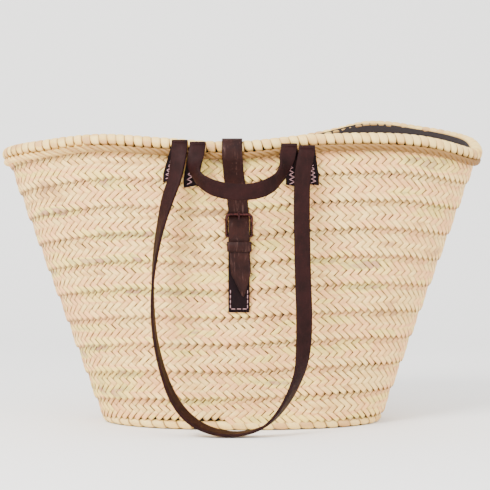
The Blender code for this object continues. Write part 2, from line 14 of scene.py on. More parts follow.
import bmesh
import bpy
import numpy as np
from mathutils import Matrix, Vector


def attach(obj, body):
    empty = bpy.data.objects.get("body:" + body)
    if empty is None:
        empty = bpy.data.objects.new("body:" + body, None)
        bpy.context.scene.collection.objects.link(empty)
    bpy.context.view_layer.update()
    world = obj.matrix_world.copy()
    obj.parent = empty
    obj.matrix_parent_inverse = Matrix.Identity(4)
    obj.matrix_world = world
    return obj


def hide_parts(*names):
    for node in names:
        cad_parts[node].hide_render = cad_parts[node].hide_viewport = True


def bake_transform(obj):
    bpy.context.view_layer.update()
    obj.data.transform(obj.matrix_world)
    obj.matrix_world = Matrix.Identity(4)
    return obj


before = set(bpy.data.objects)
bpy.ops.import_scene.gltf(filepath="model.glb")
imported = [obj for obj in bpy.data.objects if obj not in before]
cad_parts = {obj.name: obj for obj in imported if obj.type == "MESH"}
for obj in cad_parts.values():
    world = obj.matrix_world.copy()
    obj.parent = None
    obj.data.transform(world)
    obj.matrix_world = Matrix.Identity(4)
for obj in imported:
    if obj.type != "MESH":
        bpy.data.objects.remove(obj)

LOG = logging.getLogger("market_basket")
BODY = "basket"
UP = Vector((0.0, 0.0, 1.0))
Station = tuple[Vector, Vector]


# ---------------------------------------------------------------------------
# Helpers
# ---------------------------------------------------------------------------


def srgb(code: str) -> tuple[float, float, float, float]:
    """Turn a hex sRGB colour into linear RGBA.

    Args:
        code: Six hex digits, with or without a leading hash.

    Returns:
        Linear red, green, blue and an alpha of one.
    """
    digits = code.lstrip("#")
    values = [int(digits[i:i + 2], 16) / 255 for i in (0, 2, 4)]
    linear = [v / 12.92 if v <= 0.04045 else ((v + 0.055) / 1.055) ** 2.4 for v in values]
    return (*linear, 1.0)


def add_node(tree: bpy.types.NodeTree, kind: str, values: dict | None = None,
             links: dict | None = None, **settings: object) -> bpy.types.Node:
    """Add a node with its settings, socket values and incoming links.

    Args:
        tree: Tree that the node goes in.
        kind: Node type's identifier.
        values: Input socket name or index to its value.
        links: Input socket name or index to the output socket that feeds it.
        **settings: The node's own properties.

    Returns:
        The new node.
    """
    node = tree.nodes.new(kind)
    for name, value in settings.items():
        setattr(node, name, value)
    for key, value in (values or {}).items():
        node.inputs[key].default_value = value
    for key, source in (links or {}).items():
        tree.links.new(source, node.inputs[key])
    return node


def add_object(name: str, mesh: bpy.types.Mesh, material: bpy.types.Material) -> bpy.types.Object:
    """Put a mesh in the scene as a piece at the origin.

    Args:
        name: The piece's name.
        mesh: Its mesh, with its place in the vertices.
        material: Finish of the whole piece.

    Returns:
        The new object.
    """
    item = bpy.data.objects.new(name, mesh)
    bpy.context.scene.collection.objects.link(item)
    mesh.materials.clear()
    mesh.materials.append(material)
    mesh.name = name
    return item


def face_outward(mesh: bpy.types.Mesh) -> None:
    """Turn a closed mesh's faces outward."""
    form = bmesh.new()
    form.from_mesh(mesh)
    bmesh.ops.recalc_face_normals(form, faces=form.faces)
    form.to_mesh(mesh)
    form.free()


def evaluated_mesh(item: bpy.types.Object) -> bpy.types.Mesh:
    """Return a plain mesh of an object with its modifiers applied."""
    graph = bpy.context.evaluated_depsgraph_get()
    graph.update()
    return bpy.data.meshes.new_from_object(item.evaluated_get(graph), depsgraph=graph)


def mesh_from(points: Sequence[Vector], faces: Sequence[Sequence[int]],
              uvs: Sequence[tuple[float, float]] | None = None) -> bpy.types.Mesh:
    """Make a smooth-shaded mesh from points and faces.

    Args:
        points: Vertex places.
        faces: Vertex numbers of each face, anticlockwise from outside.
        uvs: One pair for each vertex, for the UV map "run", or None.

    Returns:
        The mesh.
    """
    mesh = bpy.data.meshes.new("form")
    mesh.from_pydata([tuple(p) for p in points], [], [tuple(f) for f in faces])
    if uvs is not None:
        layer = mesh.uv_layers.new(name="run")
        for loop in mesh.loops:
            layer.data[loop.index].uv = uvs[loop.vertex_index]
    mesh.shade_smooth()
    return mesh


def smooth_line(rows: Sequence[Sequence[float]], steps: int) -> list[np.ndarray]:
    """Run a Catmull-Rom curve through rows of numbers.

    Args:
        rows: Points, with any further numbers that change along the line.
        steps: Steps in each span.

    Returns:
        Rows of the finer line.
    """
    data = [np.array(row, dtype=float) for row in rows]
    data = [2 * data[0] - data[1]] + data + [2 * data[-1] - data[-2]]
    line = []
    for a, b, c, d in zip(data, data[1:], data[2:], data[3:]):
        for step in range(steps):
            u = step / steps
            line.append(0.5 * (2 * b + (c - a) * u + (2 * a - 5 * b + 4 * c - d) * u ** 2
                               + (3 * b - a - 3 * c + d) * u ** 3))
    line.append(data[-2])
    return line


def new_tree(name: str, inputs: dict[str, tuple[str, object]]) -> tuple:
    """Start a Geometry Nodes tree.

    Args:
        name: The tree's name.
        inputs: Input name to its socket type and default value, where it has one.

    Returns:
        The tree, its input node and its output node.
    """
    tree = bpy.data.node_groups.new(name, "GeometryNodeTree")
    tree.interface.new_socket("Geometry", in_out="INPUT", socket_type="NodeSocketGeometry")
    for label, (kind, value) in inputs.items():
        socket = tree.interface.new_socket(label, in_out="INPUT", socket_type=kind)
        if value is not None:
            socket.default_value = value
    tree.interface.new_socket("Geometry", in_out="OUTPUT", socket_type="NodeSocketGeometry")
    return tree, tree.nodes.new("NodeGroupInput"), tree.nodes.new("NodeGroupOutput")


def grow(name: str, guide: bpy.types.Mesh, tree: bpy.types.NodeTree, values: dict[str, object],
         material: bpy.types.Material) -> bpy.types.Object:
    """Run a Geometry Nodes tree on a guide and keep the result as a plain mesh.

    Args:
        name: Name of the piece.
        guide: Guide mesh that the tree reads.
        tree: The tree.
        values: Input name to value.
        material: The piece's finish.

    Returns:
        The finished piece.
    """
    maker = bpy.data.objects.new(name + "_guide", guide)
    bpy.context.scene.collection.objects.link(maker)
    modifier = maker.modifiers.new("grow", "NODES")
    modifier.node_group = tree
    for item in tree.interface.items_tree:
        if item.in_out == "INPUT" and item.name in values:
            modifier[item.identifier] = values[item.name]
    mesh = evaluated_mesh(maker)
    maker.modifiers.remove(modifier)
    bpy.data.objects.remove(maker)
    mesh.shade_smooth()
    return add_object(name, mesh, material)


def guide_mesh(lines: Iterable[Sequence[Vector]], closed: bool = False,
               **fields: Sequence[Sequence[float]]) -> bpy.types.Mesh:
    """Make a mesh of polylines, with named values on their points.

    Args:
        lines: Polylines, one after another.
        closed: Whether each line's end joins its start.
        **fields: Name to one number or vector for each point, in the lines' order.

    Returns:
        The guide mesh.
    """
    points, edges = [], []
    for line in lines:
        first = len(points)
        points.extend(tuple(p) for p in line)
        edges.extend((i, i + 1) for i in range(first, len(points) - 1))
        if closed:
            edges.append((len(points) - 1, first))
    mesh = bpy.data.meshes.new("guide")
    mesh.from_pydata(points, edges, [])
    for name, values in fields.items():
        vector = hasattr(values[0], "__len__")
        kind = "FLOAT_VECTOR" if vector else "FLOAT"
        store = mesh.attributes.new(name, kind, "POINT")
        flat = np.array([tuple(v) for v in values] if vector else values, dtype=np.float32)
        store.data.foreach_set("vector" if vector else "value", flat.ravel())
    return mesh


def end_tree(tree: bpy.types.NodeTree, outlet: bpy.types.Node, geometry: bpy.types.NodeSocket,
             finish: bpy.types.NodeSocket) -> None:
    """End a tree with its instances made real and its material set.

    Args:
        tree: Geometry Nodes tree.
        outlet: The tree's output node.
        geometry: Output socket with the finished geometry.
        finish: Output socket with the material.
    """
    real = add_node(tree, "GeometryNodeRealizeInstances", links={0: geometry})
    dressed = add_node(tree, "GeometryNodeSetMaterial",
                       links={"Geometry": real.outputs[0], "Material": finish})
    tree.links.new(dressed.outputs[0], outlet.inputs[0])


def store_random(tree: bpy.types.NodeTree, geometry: bpy.types.NodeSocket, name: str,
                 span: tuple[float, float], seed: bpy.types.NodeSocket) -> bpy.types.NodeSocket:
    """Store a random number on each instance.

    Args:
        tree: Geometry Nodes tree.
        geometry: Output socket with the instances.
        name: Name that the material reads.
        span: Lowest and highest number.
        seed: Output socket with the seed.

    Returns:
        Output socket with the instances.
    """
    value = add_node(tree, "FunctionNodeRandomValue", {2: span[0], 3: span[1]}, {"Seed": seed},
                     data_type="FLOAT")
    kept = add_node(tree, "GeometryNodeStoreNamedAttribute", {"Name": name},
                    {"Geometry": geometry, "Value": value.outputs[1]}, data_type="FLOAT",
                    domain="INSTANCE")
    return kept.outputs[0]


# ---------------------------------------------------------------------------
# Finishes
# ---------------------------------------------------------------------------


def new_material(name: str) -> tuple[bpy.types.Material, bpy.types.NodeTree, bpy.types.Node]:
    """Start a material.

    Args:
        name: The material's name.

    Returns:
        The material, its tree and its Principled shader.
    """
    material = bpy.data.materials.new(name)
    material.use_nodes = True
    tree = material.node_tree
    return material, tree, tree.nodes["Principled BSDF"]


def set_stops(ramp: bpy.types.Node, stops: Sequence[tuple[float, str]]) -> None:
    """Give a colour ramp its stops.

    Args:
        ramp: The ramp node.
        stops: Positions and hex colours.
    """
    points = ramp.color_ramp.elements
    while len(points) < len(stops):
        points.new(0.5)
    for point, (place, code) in zip(points, stops):
        point.position = place
        point.color = srgb(code)


@dataclass(frozen=True)
class PalmLeaf:
    """Dried palm leaf, split by hand and braided: pale, waxy and finely ribbed.

    Each strip has its own cream, straw, pink or green cast, drawn out in level patches as leaves
    from one bundle are, with ribs along it that catch light. Its colour is painted darker towards
    each strip's ends and sides: painted shade where it tucks under its neighbours. Counts are for
    one strip, and for one metre where they are of patches.
    """

    name: str
    tints: tuple[tuple[float, str], ...]
    rib_count: float = 9.0
    run_count: float = 1.2
    roughness: float = 0.56
    rib_depth: float = 0.00022
    patch_counts: tuple[float, float, float] = (11.0, 11.0, 62.0)
    patch_spread: float = 0.42
    end_shadow: tuple[float, float] = (0.30, 0.50)
    side_shadow: tuple[float, float] = (0.40, 0.50)
    side_strength: float = 0.95
    # colour of the painted shade at each strip's ends and sides, and between a rope's strands
    gap_shade_colour: str = "#7c5a34"

    def material(self) -> bpy.types.Material:
        """Build the material. Reads the strip's UV map "run" and its "tint" and "shade" values."""
        material, tree, shader = new_material(self.name)
        tint = add_node(tree, "ShaderNodeAttribute", attribute_name="tint")
        shade = add_node(tree, "ShaderNodeAttribute", attribute_name="shade")
        place = add_node(tree, "ShaderNodeTexCoord")
        drawn = add_node(tree, "ShaderNodeVectorMath", {1: self.patch_counts},
                         {0: place.outputs["Object"]}, operation="MULTIPLY")
        patch = add_node(tree, "ShaderNodeTexNoise", {"Scale": 1.0, "Detail": 1.5},
                         {"Vector": drawn.outputs[0]})
        spread = add_node(tree, "ShaderNodeMapRange",
                          {1: 0.3, 2: 0.7, 3: -self.patch_spread, 4: self.patch_spread},
                          {0: patch.outputs["Fac"]})
        cast = add_node(tree, "ShaderNodeMath", links={0: tint.outputs["Fac"], 1: spread.outputs[0]},
                        operation="ADD")
        colour = add_node(tree, "ShaderNodeValToRGB", links={"Fac": cast.outputs[0]})
        set_stops(colour, self.tints)
        uv = add_node(tree, "ShaderNodeUVMap", uv_map="run")
        stretch = add_node(tree, "ShaderNodeVectorMath", {1: (self.run_count, self.rib_count, 1.0)},
                           {0: uv.outputs["UV"]}, operation="MULTIPLY")
        offset = add_node(tree, "ShaderNodeVectorMath", {1: (37.0, 91.0, 53.0)},
                          {0: tint.outputs["Fac"]}, operation="MULTIPLY")
        along = add_node(tree, "ShaderNodeVectorMath",
                         links={0: stretch.outputs[0], 1: offset.outputs[0]}, operation="ADD")
        ribs = add_node(tree, "ShaderNodeTexNoise", {"Scale": 1.0, "Detail": 3.0, "Roughness": 0.6},
                        {"Vector": along.outputs[0]})
        rib_shade = add_node(tree, "ShaderNodeMapRange", {1: 0.25, 2: 0.75, 3: 0.86, 4: 1.04},
                             {0: ribs.outputs["Fac"]})
        split = add_node(tree, "ShaderNodeSeparateXYZ", links={0: uv.outputs["UV"]})
        # painted shade: near each strip's ends and sides the colour is mixed towards the gap colour, where
        # it tucks under its neighbours
        shadows = []
        for axis, (start, full), strength in (("X", self.end_shadow, 1.0),
                                              ("Y", self.side_shadow, self.side_strength)):
            away = add_node(tree, "ShaderNodeMath", {1: 0.5}, {0: split.outputs[axis]},
                            operation="SUBTRACT")
            away = add_node(tree, "ShaderNodeMath", links={0: away.outputs[0]}, operation="ABSOLUTE")
            shadows.append(add_node(tree, "ShaderNodeMapRange", {1: start, 2: full, 3: 0.0, 4: strength},
                                    {0: away.outputs[0]}))
        tuck_shade = add_node(tree, "ShaderNodeMath",
                          links={i: shadow.outputs[0] for i, shadow in enumerate(shadows)},
                          operation="MAXIMUM")
        dark = add_node(tree, "ShaderNodeMix", {7: srgb(self.gap_shade_colour)},
                        {0: tuck_shade.outputs[0], 6: colour.outputs["Color"]}, data_type="RGBA")
        ribbed = add_node(tree, "ShaderNodeVectorMath",
                          links={0: dark.outputs[2], 1: rib_shade.outputs[0]}, operation="MULTIPLY")
        shaded = add_node(tree, "ShaderNodeVectorMath",
                          links={0: ribbed.outputs[0], 1: shade.outputs["Fac"]}, operation="MULTIPLY")
        tree.links.new(shaded.outputs[0], shader.inputs["Base Color"])
        bump = add_node(tree, "ShaderNodeBump", {"Strength": 0.7, "Distance": self.rib_depth},
                        {"Height": ribs.outputs["Fac"]})
        tree.links.new(bump.outputs[0], shader.inputs["Normal"])
        shader.inputs["Roughness"].default_value = self.roughness
        shader.inputs["Specular IOR Level"].default_value = 0.42
        return material


@dataclass(frozen=True)
class Leather:
    """Vegetable-tanned cow leather, dyed and rubbed: a fine pebbled grain with soft, uneven gloss.

    The grain is about 0.7 mm. Creases and rub marks make paler, shinier streaks down a strap. The
    blotch and streak counts are for one metre.
    """

    name: str
    face: str
    mottle: str
    rub: str
    roughness: float = 0.55
    rub_amount: float = 0.25
    grain_size: float = 0.0007
    blotch_count: float = 70.0
    streak_counts: tuple[float, float, float] = (420.0, 420.0, 38.0)
    gloss_spread: float = 0.08
    specular: float = 0.09

    def material(self) -> bpy.types.Material:
        """Build the material. It reads Object coordinates for the grain."""
        material, tree, shader = new_material(self.name)
        place = add_node(tree, "ShaderNodeTexCoord")
        grain = add_node(tree, "ShaderNodeTexVoronoi", {"Scale": 1 / self.grain_size},
                         {"Vector": place.outputs["Object"]}, feature="F1")
        cloud = add_node(tree, "ShaderNodeTexNoise",
                         {"Scale": self.blotch_count, "Detail": 5.0, "Roughness": 0.6},
                         {"Vector": place.outputs["Object"]})
        base = add_node(tree, "ShaderNodeValToRGB", links={"Fac": cloud.outputs["Fac"]})
        set_stops(base, ((0.32, self.mottle), (0.62, self.face)))
        stretch = add_node(tree, "ShaderNodeVectorMath", {1: self.streak_counts},
                           {0: place.outputs["Object"]}, operation="MULTIPLY")
        streak = add_node(tree, "ShaderNodeTexNoise", {"Scale": 1.0, "Detail": 4.0, "Roughness": 0.7},
                          {"Vector": stretch.outputs[0]})
        rubbed = add_node(tree, "ShaderNodeMapRange", {1: 0.56, 2: 0.72, 3: 0.0, 4: self.rub_amount},
                          {0: streak.outputs["Fac"]})
        colour = add_node(tree, "ShaderNodeMix", {7: srgb(self.rub)},
                          {0: rubbed.outputs[0], 6: base.outputs["Color"]}, data_type="RGBA")
        tree.links.new(colour.outputs[2], shader.inputs["Base Color"])
        gloss = add_node(tree, "ShaderNodeMapRange",
                         {1: 0.3, 2: 0.7, 3: self.roughness + self.gloss_spread,
                          4: self.roughness - self.gloss_spread},
                         {0: cloud.outputs["Fac"]})
        tree.links.new(gloss.outputs[0], shader.inputs["Roughness"])
        fine = add_node(tree, "ShaderNodeBump", {"Strength": 0.35, "Distance": 0.00012},
                        {"Height": grain.outputs["Distance"]})
        soft = add_node(tree, "ShaderNodeBump", {"Strength": 0.4, "Distance": 0.0004},
                        {"Height": cloud.outputs["Fac"], "Normal": fine.outputs[0]})
        tree.links.new(soft.outputs[0], shader.inputs["Normal"])
        shader.inputs["Specular IOR Level"].default_value = self.specular
        return material


@dataclass(frozen=True)
class Cotton:
    """Plain-woven dyed cotton: matt, with a crossed thread texture.

    Its threads are drawn 1.2 mm apart, coarser than the cloth's, so that they show.
    """

    name: str
    colour: str
    shadow: str
    thread_spacing: float = 0.0012

    def material(self) -> bpy.types.Material:
        """Build the material. It reads the piece's own UV map, which is in metres."""
        material, tree, shader = new_material(self.name)
        uv = add_node(tree, "ShaderNodeUVMap", uv_map="run")
        heights = []
        for direction in ("X", "Y"):
            wave = add_node(tree, "ShaderNodeTexWave",
                            {"Scale": 1 / (self.thread_spacing * 20) * 2 * math.pi, "Distortion": 0.4},
                            {"Vector": uv.outputs["UV"]}, bands_direction=direction)
            heights.append(wave.outputs["Fac"])
        cross = add_node(tree, "ShaderNodeMath", links={0: heights[0], 1: heights[1]},
                         operation="MULTIPLY")
        colour = add_node(tree, "ShaderNodeValToRGB", links={"Fac": cross.outputs[0]})
        set_stops(colour, ((0.0, self.shadow), (0.55, self.colour)))
        tree.links.new(colour.outputs["Color"], shader.inputs["Base Color"])
        bump = add_node(tree, "ShaderNodeBump", {"Strength": 0.5, "Distance": 0.0003},
                        {"Height": cross.outputs[0]})
        tree.links.new(bump.outputs[0], shader.inputs["Normal"])
        shader.inputs["Roughness"].default_value = 0.92
        shader.inputs["Sheen Weight"].default_value = 0.06
        return material


@dataclass(frozen=True)
class AntiquedWire:
    """Drawn brass wire, dipped dark red-brown and rubbed: glossy on its crowns, matt in hollows."""

    name: str
    colour: str
    worn: str
    spot_count: float = 420.0
    metallic: float = 0.75

    def material(self) -> bpy.types.Material:
        """Build the material."""
        material, tree, shader = new_material(self.name)
        place = add_node(tree, "ShaderNodeTexCoord")
        cloud = add_node(tree, "ShaderNodeTexNoise", {"Scale": self.spot_count, "Detail": 3.0},
                         {"Vector": place.outputs["Object"]})
        colour = add_node(tree, "ShaderNodeValToRGB", links={"Fac": cloud.outputs["Fac"]})
        set_stops(colour, ((0.45, self.colour), (0.75, self.worn)))
        tree.links.new(colour.outputs["Color"], shader.inputs["Base Color"])
        rough = add_node(tree, "ShaderNodeMapRange", {1: 0.3, 2: 0.7, 3: 0.30, 4: 0.5},
                         {0: cloud.outputs["Fac"]})
        tree.links.new(rough.outputs[0], shader.inputs["Roughness"])
        shader.inputs["Metallic"].default_value = self.metallic
        return material


@dataclass(frozen=True)
class Thread:
    """Waxed cotton thread of two twisted plies, about 0.9 mm thick."""

    name: str
    colour: str
    shadow: str

    def material(self) -> bpy.types.Material:
        """Build the material. The plies slant across the stitch's own UV map."""
        material, tree, shader = new_material(self.name)
        uv = add_node(tree, "ShaderNodeUVMap", uv_map="run")
        wave = add_node(tree, "ShaderNodeTexWave", {"Scale": 2.4, "Distortion": 0.3},
                        {"Vector": uv.outputs["UV"]}, bands_direction="DIAGONAL")
        colour = add_node(tree, "ShaderNodeValToRGB", links={"Fac": wave.outputs["Fac"]})
        set_stops(colour, ((0.1, self.shadow), (0.6, self.colour)))
        tree.links.new(colour.outputs["Color"], shader.inputs["Base Color"])
        bump = add_node(tree, "ShaderNodeBump", {"Strength": 0.6, "Distance": 0.0002},
                        {"Height": wave.outputs["Fac"]})
        tree.links.new(bump.outputs[0], shader.inputs["Normal"])
        shader.inputs["Roughness"].default_value = 0.6
        return material


class Finish(Enum):
    """The basket's finishes."""

    BRAID = PalmLeaf("braided_palm_leaf", (
        (0.0, "#cd9c63"), (0.14, "#efba69"), (0.30, "#fdd582"), (0.44, "#f9c275"),
        (0.56, "#f4b070"), (0.68, "#fbcf74"), (0.80, "#f5d16c"), (0.90, "#d8c06a"), (1.0, "#c8966a")))
    WRAP = PalmLeaf("wrapped_palm_leaf", (
        (0.0, "#e3b368"), (0.3, "#fbd780"), (0.6, "#f6cd7e"), (0.8, "#f0c468"), (1.0, "#d8a664")),
        rib_count=12.0, run_count=1.6, gap_shade_colour="#8a602c")
    ROPE = PalmLeaf("twisted_palm_leaf", (
        (0.0, "#e2b468"), (0.4, "#fbd27c"), (0.7, "#f3c576"), (1.0, "#d9a866")),
        rib_count=14.0, run_count=90.0, gap_shade_colour="#8a612a", rib_depth=0.0004)
    # painted shade: a dark leaf colour for the sheets behind the floats, so that the gaps between floats
    # read as shadow
    SHADE_BACKING = PalmLeaf("painted_shade_palm_leaf", ((0.0, "#3f2812"), (1.0, "#5c3d1d")), gap_shade_colour="#3f2812")
    HANDLE = Leather("dyed_handle_leather", "#210a09", "#170706", "#3a211e", 0.62, 0.16)
    # painted shade: a darker copy of the handle leather, for pieces that sit in shadow: the handle tabs and
    # the buckle strap
    SHADED_LEATHER = Leather("shaded_handle_leather", "#120407", "#0d0305", "#220c0f", 0.66, 0.10)
    STRAP = Leather("rubbed_strap_leather", "#29130f", "#1b0b0a", "#72544d", 0.48, 0.36)
    COTTON = Cotton("dyed_lining_cotton", "#23120f", "#130908")
    WIRE = AntiquedWire("antiqued_brass_wire", "#290c0e", "#5f302b")
    THREAD = Thread("waxed_cotton_thread", "#c79a9c", "#7f5558")


class Wardrobe:
    """Builds each finish once."""

    def __init__(self) -> None:
        """Start with nothing built."""
        self.made: dict[Finish, bpy.types.Material] = {}

    def get(self, finish: Finish) -> bpy.types.Material:
        """Return the finish's material, building it at first use."""
        if finish not in self.made:
            self.made[finish] = finish.value.material()
        return self.made[finish]


# ---------------------------------------------------------------------------
# The basket's form
# ---------------------------------------------------------------------------


@dataclass(frozen=True)
class BasketForm:
    """The flared oval that every woven piece follows."""

    base_half_length: float = 0.160
    base_half_depth: float = 0.0965
    length_flare: float = 0.370
    depth_flare: float = 0.045
    oval_exponent: float = 2.2
    wall_foot: float = 0.0105
    wall_below_rim: float = 0.0110
    rows: int = 40
    rim_top_points: tuple[tuple[float, float], ...] = (
        (-180, 0.3180), (-146, 0.3220), (-122, 0.3275), (-106, 0.3225), (-92, 0.3180),
        (-76, 0.3260), (-52, 0.3280), (-13, 0.3165), (15, 0.3360), (41, 0.3520),
        (59, 0.3610), (72, 0.3490), (92, 0.3320), (130, 0.3240),
    )

    def oval(self, angle: float, half_length: float, half_depth: float) -> tuple[float, float]:
        """Return the superellipse's X and Y at an angle in radians."""
        power = 2.0 / self.oval_exponent
        cosine, sine = math.cos(angle), math.sin(angle)
        x = half_length * math.copysign(abs(cosine) ** power, cosine)
        y = half_depth * math.copysign(abs(sine) ** power, sine)
        return x, y

    def point(self, angle: float, height: float, out: float = 0.0) -> Vector:
        """Find a point on the wall's outer face, or a distance out from it.

        Args:
            angle: Angle round the basket, in radians.
            height: Height above the ground.
            out: Distance out from the face.

        Returns:
            The point.
        """
        half_length = self.base_half_length + self.length_flare * height + out
        half_depth = self.base_half_depth + self.depth_flare * height + out
        x, y = self.oval(angle, half_length, half_depth)
        return Vector((x, y, height))

    def rim_top(self, angle: float) -> float:
        """Return the rim's height at an angle, on a smooth closed curve through its points."""
        table = self.rim_top_points
        degrees = (math.degrees(angle) + 180.0) % 360.0 - 180.0
        count = len(table)
        index = max(i for i in range(count) if table[i][0] <= degrees)
        near = [(index + k) % count for k in (-1, 0, 1, 2)]
        places = [table[n][0] + 360 * ((index + k) // count) for k, n in zip((-1, 0, 1, 2), near)]
        heights = [table[n][1] for n in near]
        width = places[2] - places[1]
        u = (degrees - places[1]) / width
        slope_start = (heights[2] - heights[0]) / (places[2] - places[0]) * width
        slope_end = (heights[3] - heights[1]) / (places[3] - places[1]) * width
        start = (1 + 2 * u) * (1 - u) ** 2 * heights[1] + u * (1 - u) ** 2 * slope_start
        end = u * u * (3 - 2 * u) * heights[2] + u * u * (u - 1) * slope_end
        return start + end

    def row_point(self, angle: float, row: float, out: float = 0.0) -> Vector:
        """Return the point on the wall at a number of braid rows above its foot."""
        top = self.rim_top(angle) - self.wall_below_rim
        height = self.wall_foot + (top - self.wall_foot) * row / self.rows
        return self.point(angle, height, out)

    def rim_point(self, angle: float, out: float, drop: float) -> Vector:
        """Return the point of the rim's section, out from the wall and below the rim's top."""
        return self.point(angle, self.rim_top(angle) + drop, out)

    def out_at(self, angle: float, row: float) -> Vector:
        """Return the wall's outward normal at an angle and row."""
        step = 0.01
        along = self.row_point(angle + step, row) - self.row_point(angle - step, row)
        rise = self.row_point(angle, row + 0.5) - self.row_point(angle, row - 0.5)
        return along.cross(rise).normalized()

    def wall_depth(self, height: float) -> float:
        """Return the wall's distance from the middle plane, halfway along a long side."""
        return self.base_half_depth + self.depth_flare * height

    def even_angles(self, count: int, height: float = 0.3) -> list[float]:
        """List angles that are evenly spaced round the wall.

        Args:
            count: How many angles.
            height: Height at which the spacing is even.

        Returns:
            Angles in radians, from zero.
        """
        fine = [math.tau * i / 720 for i in range(721)]
        spots = [self.point(a, height) for a in fine]
        gaps = [0.0] + [(b - a).length for a, b in zip(spots, spots[1:])]
        run = np.cumsum(gaps)
        wanted = np.linspace(0.0, run[-1], count, endpoint=False)
        return [float(a) for a in np.interp(wanted, run, fine)]


def ring_shell(form_rings: Sequence[Sequence[Vector]], floor: bool = False) -> bpy.types.Mesh:
    """Make a closed-round surface through rings, with a UV map in metres.

    Args:
        form_rings: Rings of points, from the lowest up, all of one length.
        floor: Whether the lowest ring is filled.

    Returns:
        The surface, open at the top.
    """
    count = len(form_rings[0])
    points = [p for ring in form_rings for p in ring]
    faces, uvs = [], []
    for level, ring in enumerate(form_rings):
        run = 0.0
        for i, p in enumerate(ring):
            uvs.append((run, level * 0.02))
            run += (ring[(i + 1) % count] - p).length
    for level in range(len(form_rings) - 1):
        for i in range(count):
            j = (i + 1) % count
            a, b = level * count, (level + 1) * count
            faces.append((a + i, a + j, b + j, b + i))
    if floor:
        middle = sum(form_rings[0], Vector()) / count
        points.append(middle)
        uvs.append((0.0, 0.0))
        faces.extend(((i + 1) % count, i, len(points) - 1) for i in range(count))
    return mesh_from(points, faces, uvs)


def thicken(item: bpy.types.Object, thickness: float) -> None:
    """Give an open surface its thickness for good, on the side that its faces turn away from."""
    shell = item.modifiers.new("thickness", "SOLIDIFY")
    shell.thickness = thickness
    shell.offset = -1.0
    solid = evaluated_mesh(item)
    item.modifiers.remove(shell)
    item.data = solid


# ---------------------------------------------------------------------------
# Woven pieces
# ---------------------------------------------------------------------------


@dataclass(frozen=True)
class CourseNodes:
    """Sockets of the braid's tree that each row of floats reads."""

    seed: bpy.types.NodeSocket
    slant: bpy.types.NodeSocket
    tilt: bpy.types.NodeSocket
    lowest: bpy.types.NodeSocket
    highest: bpy.types.NodeSocket
    points: bpy.types.NodeSocket
    run: bpy.types.NodeSocket
    out: bpy.types.NodeSocket
    rise: bpy.types.NodeSocket
    level: bpy.types.NodeSocket
    turn: bpy.types.NodeSocket
    strip: bpy.types.NodeSocket


